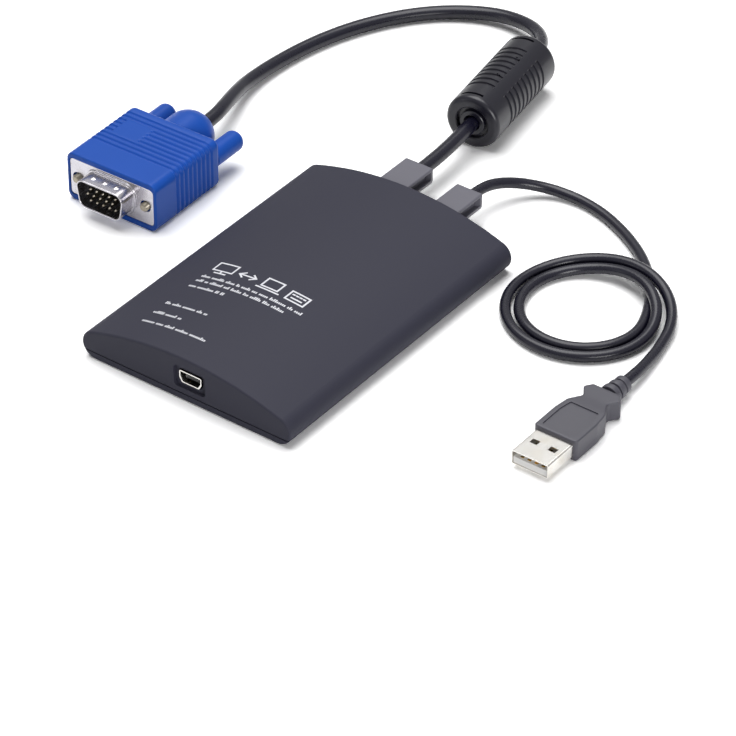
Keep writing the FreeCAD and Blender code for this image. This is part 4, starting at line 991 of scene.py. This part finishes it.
def knob(name):
    profile = [(SHAFT_RADIUS, KNOB_FRONT)]
    profile += turned_edge(KNOB_RADIUS, KNOB_FRONT, KNOB_EDGE, -1)[::-1]
    profile += turned_edge(KNOB_RADIUS, KNOB_END, KNOB_END_ROUND, 1, KNOB_END_STEPS)
    profile += [(0.0, KNOB_END), (0.0, SHAFT_END), (SHAFT_RADIUS, SHAFT_END)]
    return solid(name, skin(lathe(profile, KNOB_SEGMENTS), loop=True))


thumbscrews = []
for side, x in (("left", -SCREW_X), ("right", SCREW_X)):
    aside = VGA_PLACE @ Matrix.Translation((x, 0.0, 0.0))
    pair = threaded_shaft(side + "_threaded_shaft"), knob(side + "_moulded_knob")
    lay(pair[0], aside, "steel", side + "_thumbscrew", side + "_thumbscrew_shaft")
    lay(pair[1], aside, "hood", side + "_thumbscrew", side + "_thumbscrew_knob")
    thumbscrews += pair

# %% [markdown]
# The choke is a black moulding round a ferrite core. Its outside is turned, with a cup and a boss round the
# cable at each end. Its rings could be modelled in that profile, but they stop at two smooth bands along
# the choke. So the groove tree that made the hood's grooves presses them in, as two fields of nine rings
# with the bands between them.

# %% Choke: turned body with rings
CHOKE_YAW = math.radians(9.0)
CHOKE_HALF = 20.0
CHOKE_RADIUS = 8.75
CHOKE_EDGE = 1.6
CHOKE_EDGE_STEPS = 10
CHOKE_RINGS = 9
CHOKE_PITCH = 2.7
CHOKE_FIRST = -(CHOKE_RINGS - 1) / 2 * CHOKE_PITCH
CHOKE_RING_WIDTH = 1.1
CHOKE_RING_SOFTNESS = 0.12
CHOKE_RING_DEPTH = 0.6
CHOKE_RING_STATIONS = 4
CHOKE_FIELDS = (70.0, 250.0)
CHOKE_SWEEP = 156.0
CHOKE_FADE = 3.0
CHOKE_BORE, CHOKE_BORE_EDGE = 2.45, 0.25
CHOKE_BOSS, CHOKE_BOSS_EDGE = 4.05, 0.2
CHOKE_CUP, CHOKE_CUP_EDGE = 5.2, 0.3
CHOKE_CUP_DEPTH = 1.4
CHOKE_CAVITY, CHOKE_CAVITY_HALF = 6.65, 15.5
CHOKE_SEGMENTS = 240
choke_low, choke_high = box_in(Matrix.Scale(MM, 4), "ferrite_cover")
CHOKE_PLACE = (Matrix.Scale(MM, 4) @ Matrix.Translation((choke_low + choke_high) / 2)
               @ Matrix.Rotation(CHOKE_YAW, 4, "Z"))


def choke_end():
    """The profile of the +Y end, from the cavity out through the bore and cup to the side wall."""
    end, deep = CHOKE_HALF, CHOKE_HALF - CHOKE_CUP_DEPTH
    profile = [(CHOKE_CAVITY, CHOKE_CAVITY_HALF), (CHOKE_BORE, CHOKE_CAVITY_HALF)]
    profile += [(CHOKE_BORE, end - CHOKE_BORE_EDGE), (CHOKE_BORE + CHOKE_BORE_EDGE, end)]
    profile += [(CHOKE_BOSS - CHOKE_BOSS_EDGE, end), (CHOKE_BOSS, end - CHOKE_BOSS_EDGE)]
    profile += [(CHOKE_BOSS, deep), (CHOKE_CUP, deep)]
    profile += [(CHOKE_CUP, end - CHOKE_CUP_EDGE), (CHOKE_CUP + CHOKE_CUP_EDGE, end)]
    return profile + turned_edge(CHOKE_RADIUS, end, CHOKE_EDGE, 1, CHOKE_EDGE_STEPS)[::-1]


def choke_body():
    spread = (CHOKE_RING_WIDTH / 2 + CHOKE_RING_SOFTNESS) / CHOKE_RING_STATIONS
    stations = range(-CHOKE_RING_STATIONS, CHOKE_RING_STATIONS + 1)
    side = [(CHOKE_RADIUS, CHOKE_FIRST + i * CHOKE_PITCH + k * spread)
            for i in range(CHOKE_RINGS) for k in stations]
    end = choke_end()
    profile = end + side[::-1] + [(r, -y) for r, y in end[::-1]]
    return solid("choke_moulding", skin(lathe(profile, CHOKE_SEGMENTS), loop=True))


def ring_share(x, y, z):
    """1 inside the two fields of rings, 0 on the smooth bands between them and inside the bore."""
    if math.hypot(x, z) < CHOKE_RADIUS - CHOKE_EDGE:
        return 0.0
    angle = math.degrees(math.atan2(z, x))
    share = 0.0
    for start in CHOKE_FIELDS:
        into = (angle - start) % 360
        if into < CHOKE_SWEEP:
            share = smooth_step(min(into, CHOKE_SWEEP - into), 0.0, CHOKE_FADE)
    return share


choke = choke_body()
allow_grooves(choke, ring_share)
run_tree(choke, GROOVES, {"First": CHOKE_FIRST, "Pitch": CHOKE_PITCH, "Count": float(CHOKE_RINGS),
                          "Width": CHOKE_RING_WIDTH, "Softness": CHOKE_RING_SOFTNESS,
                          "Depth": CHOKE_RING_DEPTH, "Material": FINISHES["choke_cover"]})
print("ringed body faces:", len(choke.data.polygons))

# %% [markdown]
# The choke has four short slots near its ends and four small round marks between its rings. Dark paint
# could stand for them, but only a cut catches the light like one. A slot is cut by a bar bent round the
# choke, a mark by a short peg that points at its axis. All of them go into one object, so one boolean does
# the work of eight.

# %% Choke: slots and marks
SLOT_Y, SLOT_WIDTH, SLOT_DEPTH = 17.1, 0.9, 1.0
SLOT_GAP, SLOT_SWEEP = 5.0, 50.0
SLOT_STEPS = 20
MARKS = ((71.5, 6.1), (78.5, 6.6), (80.5, -4.6), (85.5, -4.4))
MARK_RADIUS, MARK_DEPTH, MARK_PAST = 0.32, 0.75, 0.5
MARK_SIDES = 20


def round_slot(y, start):
    """A bent bar that cuts one slot, from an angle in degrees."""
    low, high = y - SLOT_WIDTH / 2, y + SLOT_WIDTH / 2
    inner, outer = CHOKE_RADIUS - SLOT_DEPTH, CHOKE_RADIUS + CUT_PAST
    rings = []
    for k in range(SLOT_STEPS + 1):
        angle = math.radians(start + SLOT_SWEEP * k / SLOT_STEPS)
        corners = ((inner, low), (outer, low), (outer, high), (inner, high))
        rings.append([(r * math.cos(angle), along, r * math.sin(angle)) for r, along in corners])
    return skin(rings)


def small_mark(degrees, y):
    """A short peg that cuts one round mark into the side."""
    turn = Matrix.Rotation(-math.radians(degrees), 3, "Y")
    rings = []
    for reach in (CHOKE_RADIUS - MARK_DEPTH, CHOKE_RADIUS + MARK_PAST):
        angles = [2 * math.pi * k / MARK_SIDES for k in range(MARK_SIDES)]
        rings.append([turn @ Vector((reach, y + MARK_RADIUS * math.sin(a), MARK_RADIUS * math.cos(a)))
                      for a in angles])
    return skin(rings)


slots = [round_slot(y, start + SLOT_GAP) for y in (-SLOT_Y, SLOT_Y) for start in CHOKE_FIELDS]
combine(choke, solid("choke_cuts", *slots, *[small_mark(*mark) for mark in MARKS]), "DIFFERENCE")
lay(choke, CHOKE_PLACE, "choke_cover", "adapter", "ferrite_cover")

# %% [markdown]
# The USB plug's grip narrows to a waist, flares into two ears and ends in a ribbed strain relief. An
# extruded plan would have sharp edges, so its skin runs through rounded rectangles along the plug, as wide
# as the plan outline is there. The strain relief is turned and joined on, and a shallow panel is sunk into
# the top.

# %% USB plug: grip
GRIP_HEIGHT, GRIP_REAR_HEIGHT = 6.8, 6.2
GRIP_SLOPE_START, GRIP_SLOPE_END = 14.0, 20.0
GRIP_EDGE = 0.5
GRIP_END = 25.0
GRIP_PLAN = [(7.0, 0.0, 1.0), (7.0, 10.0, 6.0), (6.3, 15.0, 2.2), (3.8, 19.2, 1.8), (6.2, 22.6, 0.8),
             (4.5, GRIP_END, 0.8)]
GRIP_STEPS, GRIP_SPANS = 8, (14, 8, 8, 6, 4, 1, 4, 6, 8, 8, 14, 1)
SECTION_STEPS, SECTION_SPANS = 5, (16, 4, 16, 4)
GRIP_PANEL = [(5.3, 1.5, 0.5), (5.3, 10.0, 0.3), (4.6, 14.15, 0.5)]
GRIP_PANEL_DEPTH = 0.35
USB_SHELL_WIDTH, USB_SHELL_HEIGHT, USB_SHELL_CORNER = 12.0, 4.5, 0.6
USB_SHELL_IN_GRIP = 6.0
RELIEF_RINGS = 3
RELIEF_PITCH = 2.8
RELIEF_RING_LENGTH = 1.9
RELIEF_EDGE = 0.2
RELIEF_RADIUS = 3.2
RELIEF_TAPER = 0.3
RELIEF_CORE = 2.2
RELIEF_SINK = 2.0
RELIEF_SEGMENTS = 64
grip_low, grip_high = box_in(Matrix.Scale(MM, 4), "usb_plug_grip")
USB_PLACE = Matrix.Scale(MM, 4) @ Matrix.Translation((
    (grip_low.x + grip_high.x) / 2, grip_low.y, (grip_low.z + grip_high.z) / 2))


def mirrored(half_plan):
    return half_plan + [(-x, y, r) for x, y, r in half_plan[::-1]]


def grip_body():
    outline = rounded_ring(mirrored(GRIP_PLAN), GRIP_STEPS, GRIP_SPANS)
    right = [p for p in outline[:len(outline) // 2] if p.x > 0]
    rings = []
    for x, y in right:
        slope = smooth_step(y, GRIP_SLOPE_START, GRIP_SLOPE_END)
        height = GRIP_HEIGHT - (GRIP_HEIGHT - GRIP_REAR_HEIGHT) * slope
        to_end = min(1.0, min(y, GRIP_END - y) / GRIP_EDGE)
        height -= 2 * GRIP_EDGE * (1 - math.sqrt(1 - (1 - to_end) ** 2))
        rings.append(ring_at(y, rectangle(2 * x, height, GRIP_EDGE), SECTION_STEPS, SECTION_SPANS))
    return solid("usb_grip_moulding", skin(rings))


def strain_relief():
    start = GRIP_END - RELIEF_SINK
    profile = [(0.0, start), (RELIEF_CORE, start)]
    for i in range(RELIEF_RINGS):
        end = GRIP_END + (i + 1) * RELIEF_PITCH
        radius = RELIEF_RADIUS - i * RELIEF_TAPER
        profile += [(RELIEF_CORE, end - RELIEF_RING_LENGTH)]
        profile += turned_edge(radius, end - RELIEF_RING_LENGTH, RELIEF_EDGE, -1)[::-1]
        profile += turned_edge(radius, end, RELIEF_EDGE, 1)
        profile += [(RELIEF_CORE, end)]
    return solid("relief", skin(lathe(profile + [(0.0, end)], RELIEF_SEGMENTS)))


def grip_cuts():
    panel = rounded_ring(mirrored(GRIP_PANEL), SECTION_STEPS, (1,) * (2 * len(GRIP_PANEL)))
    top = GRIP_HEIGHT / 2
    sunk = skin([[(x, y, z) for x, y in panel] for z in (top - GRIP_PANEL_DEPTH, top + CUT_PAST)])
    outline = rectangle(USB_SHELL_WIDTH, USB_SHELL_HEIGHT, USB_SHELL_CORNER)
    socket = skin([ring_at(y, outline, SECTION_STEPS) for y in (-CUT_PAST, USB_SHELL_IN_GRIP)])
    return solid("cuts", sunk, socket)


grip = grip_body()
combine(grip, strain_relief(), "UNION")
combine(grip, grip_cuts(), "DIFFERENCE")
lay(grip, USB_PLACE, "grip", "adapter", "usb_plug_grip")

# %% [markdown]
# The top carries pale print: a row of plain icons, and lines of short upright ticks nearer the front. An
# image on the cover would blur near by, so each stroke is real ink. The strokes are first drawn as flat
# lines, in the housing's own millimetres.

# %% Print: strokes
ICON_STROKE, TEXT_STROKE = 0.55, 0.44
ICON_CAP = 0.48
ICON_FOOT = -12.9
SCREEN_LEFT, SCREEN_FOOT, SCREEN_WIDTH, SCREEN_HEIGHT = -21.8, -11.6, 6.6, 3.9
STAND_HALF = 1.8
ARROW_LEFT, ARROW_RIGHT, ARROW_Y = -13.1, -7.3, -10.4
ARROW_HEAD, ARROW_RISE = 1.5, 1.2
LAPTOP_LEFT, LAPTOP_FOOT, LAPTOP_WIDTH, LAPTOP_HEIGHT = -4.4, -11.9, 5.6, 3.9
LAPTOP_LEDGE = 1.0
KEYBOARD_LEFT, KEYBOARD_WIDTH, KEYBOARD_HEIGHT = 4.6, 6.2, 4.0
KEYS, KEY_LEFT, KEY_PITCH, KEY_LENGTH, KEY_Y = 4, 5.6, 1.2, 0.5, -10.1
BAR_LEFT, BAR_RIGHT, BAR_Y = 6.0, 9.4, -11.6
TEXT_LINES = [(-15.6, 35.0), (-18.1, 31.0), (-21.3, 12.0), (-31.7, 14.5), (-37.0, 9.5), (-41.9, 22.0)]
TEXT_LEFT = -22.3
TEXT_HEIGHT = 1.25
TICK_PITCH = 0.62
TICK_HEIGHTS = (0.62, 0.62, 0.62, 1.0)
PRINT_SEED = 7


def box_strokes(x, y, width, height):
    corners = [(x, y), (x + width, y), (x + width, y + height), (x, y + height)]
    return list(zip(corners, corners[1:] + corners[:1]))


def level_stroke(left, right, y):
    return (left, y), (right, y)


def capped(start, end):
    """A stroke that runs on by nearly half its width at both ends, so that corners are filled."""
    past = (Vector(end) - Vector(start)).normalized() * (ICON_CAP * ICON_STROKE)
    return Vector(start) - past, Vector(end) + past


def icon_strokes():
    """A screen, a two-way arrow, a laptop and a keyboard."""
    middle = SCREEN_LEFT + SCREEN_WIDTH / 2
    screen = box_strokes(SCREEN_LEFT, SCREEN_FOOT, SCREEN_WIDTH, SCREEN_HEIGHT)
    screen += [((middle, SCREEN_FOOT), (middle, ICON_FOOT)),
               level_stroke(middle - STAND_HALF, middle + STAND_HALF, ICON_FOOT)]
    arrow = [level_stroke(ARROW_LEFT, ARROW_RIGHT, ARROW_Y)]
    for x, reach in ((ARROW_LEFT, ARROW_HEAD), (ARROW_RIGHT, -ARROW_HEAD)):
        arrow += [((x, ARROW_Y), (x + reach, ARROW_Y + rise)) for rise in (ARROW_RISE, -ARROW_RISE)]
    laptop = box_strokes(LAPTOP_LEFT, LAPTOP_FOOT, LAPTOP_WIDTH, LAPTOP_HEIGHT)
    right = LAPTOP_LEFT + LAPTOP_WIDTH
    laptop.append(level_stroke(LAPTOP_LEFT - LAPTOP_LEDGE, right + LAPTOP_LEDGE, ICON_FOOT))
    keyboard = box_strokes(KEYBOARD_LEFT, ICON_FOOT, KEYBOARD_WIDTH, KEYBOARD_HEIGHT)
    for i in range(KEYS):
        left = KEY_LEFT + KEY_PITCH * i
        keyboard.append(level_stroke(left, left + KEY_LENGTH, KEY_Y))
    keyboard.append(level_stroke(BAR_LEFT, BAR_RIGHT, BAR_Y))
    return [capped(*stroke) for stroke in screen + arrow + laptop + keyboard]


def text_strokes():
    """Upright ticks in runs like words."""
    chance = random.Random(PRINT_SEED)
    strokes = []
    for y, length in TEXT_LINES:
        x, letters = TEXT_LEFT, chance.randint(3, 8)
        while x < TEXT_LEFT + length:
            if letters == 0:
                x, letters = x + TICK_PITCH, chance.randint(2, 9)
            tall = chance.choice(TICK_HEIGHTS)
            strokes.append(((x, y - TEXT_HEIGHT / 2), (x, y + TEXT_HEIGHT * (tall - 0.5))))
            x, letters = x + TICK_PITCH, letters - 1
    return strokes


icons, ticks = icon_strokes(), text_strokes()
print("strokes:", len(icons), "and", len(ticks))

# %% [markdown]
# A geometry tree makes each stroke a thin bar of ink, joins the bars where they cross, and drops them onto
# the arch from above, half sunk in. A shrinkwrap modifier would pull the bars flat. Here each point keeps
# its own height above the spot where its ray lands, so the ink keeps its thickness and follows the arch at
# any size.

# %% Print: ink on the arch
INK_THICKNESS = 0.03
PRINT_STEP = 0.4
RAY_START, RAY_LENGTH = 0.1, 1.0


def print_tree():
    tree, given, out = group("GeometryNodeTree", "strokes_on_arch", [
        ("Geometry", GEOMETRY, None), ("Under", "NodeSocketObject", None), ("Stroke", FLOAT, 0.0004),
        ("Step", FLOAT, 0.0005), ("Ink", FLOAT, 0.00003), ("Material", MATERIAL, None)],
        [("Geometry", GEOMETRY)])
    lines = add(tree, "GeometryNodeMeshToCurve", {"Mesh": given["Geometry"]}).outputs[0]
    fine = add(tree, "GeometryNodeResampleCurve", {"Curve": lines, "Length": given["Step"]}, mode="LENGTH")
    level = add(tree, "GeometryNodeSetCurveNormal", {"Curve": fine.outputs[0]}, mode="Z_UP").outputs[0]
    section = add(tree, "GeometryNodeCurvePrimitiveQuadrilateral",
                  {"Width": given["Stroke"], "Height": given["Ink"]}).outputs[0]
    bars = add(tree, "GeometryNodeCurveToMesh",
               {"Curve": level, "Profile Curve": section, "Fill Caps": True}).outputs[0]
    joined = add(tree, "GeometryNodeMeshBoolean", {"Self Intersection": True}, operation="UNION",
                 solver="EXACT")
    tree.links.new(bars, joined.inputs["Mesh 2"])
    spot = add(tree, "GeometryNodeInputPosition").outputs[0]
    above = add(tree, "ShaderNodeVectorMath", {0: spot, 1: (0.0, 0.0, RAY_START)}).outputs[0]
    below = add(tree, "GeometryNodeObjectInfo", {"Object": given["Under"]}, transform_space="RELATIVE")
    drop = add(tree, "GeometryNodeRaycast", {
        "Target Geometry": below.outputs["Geometry"], "Source Position": above,
        "Ray Direction": (0.0, 0.0, -1.0), "Ray Length": RAY_LENGTH}).outputs["Hit Position"]
    height = add(tree, "ShaderNodeSeparateXYZ", {0: spot}).outputs["Z"]
    own = add(tree, "ShaderNodeCombineXYZ", {"Z": height}).outputs[0]
    landed = add(tree, "ShaderNodeVectorMath", {0: drop, 1: own}).outputs[0]
    laid = add(tree, "GeometryNodeSetPosition", {"Geometry": joined.outputs[0], "Position": landed})
    crisp = add(tree, "GeometryNodeSetShadeSmooth", {"Geometry": laid.outputs[0], "Shade Smooth": False})
    return end_tree(tree, crisp.outputs[0], given, out)


def printed(name, strokes, width):
    mesh = bpy.data.meshes.new(name)
    points = [(x * MM, y * MM, 0.0) for stroke in strokes for x, y in stroke]
    mesh.from_pydata(points, [(2 * i, 2 * i + 1) for i in range(len(strokes))], [])
    piece = add_object(name, mesh)
    run_tree(piece, ARCH_PRINT, {"Under": nodes["top_cover"], "Stroke": width * MM, "Step": PRINT_STEP * MM,
                                 "Ink": INK_THICKNESS * MM, "Material": FINISHES["ink"]})
    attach(piece, "adapter")
    print(name, "faces:", len(piece.data.polygons))


ARCH_PRINT = print_tree()
printed("icon_print", icons, ICON_STROKE)
printed("small_print", ticks, TEXT_STROKE)
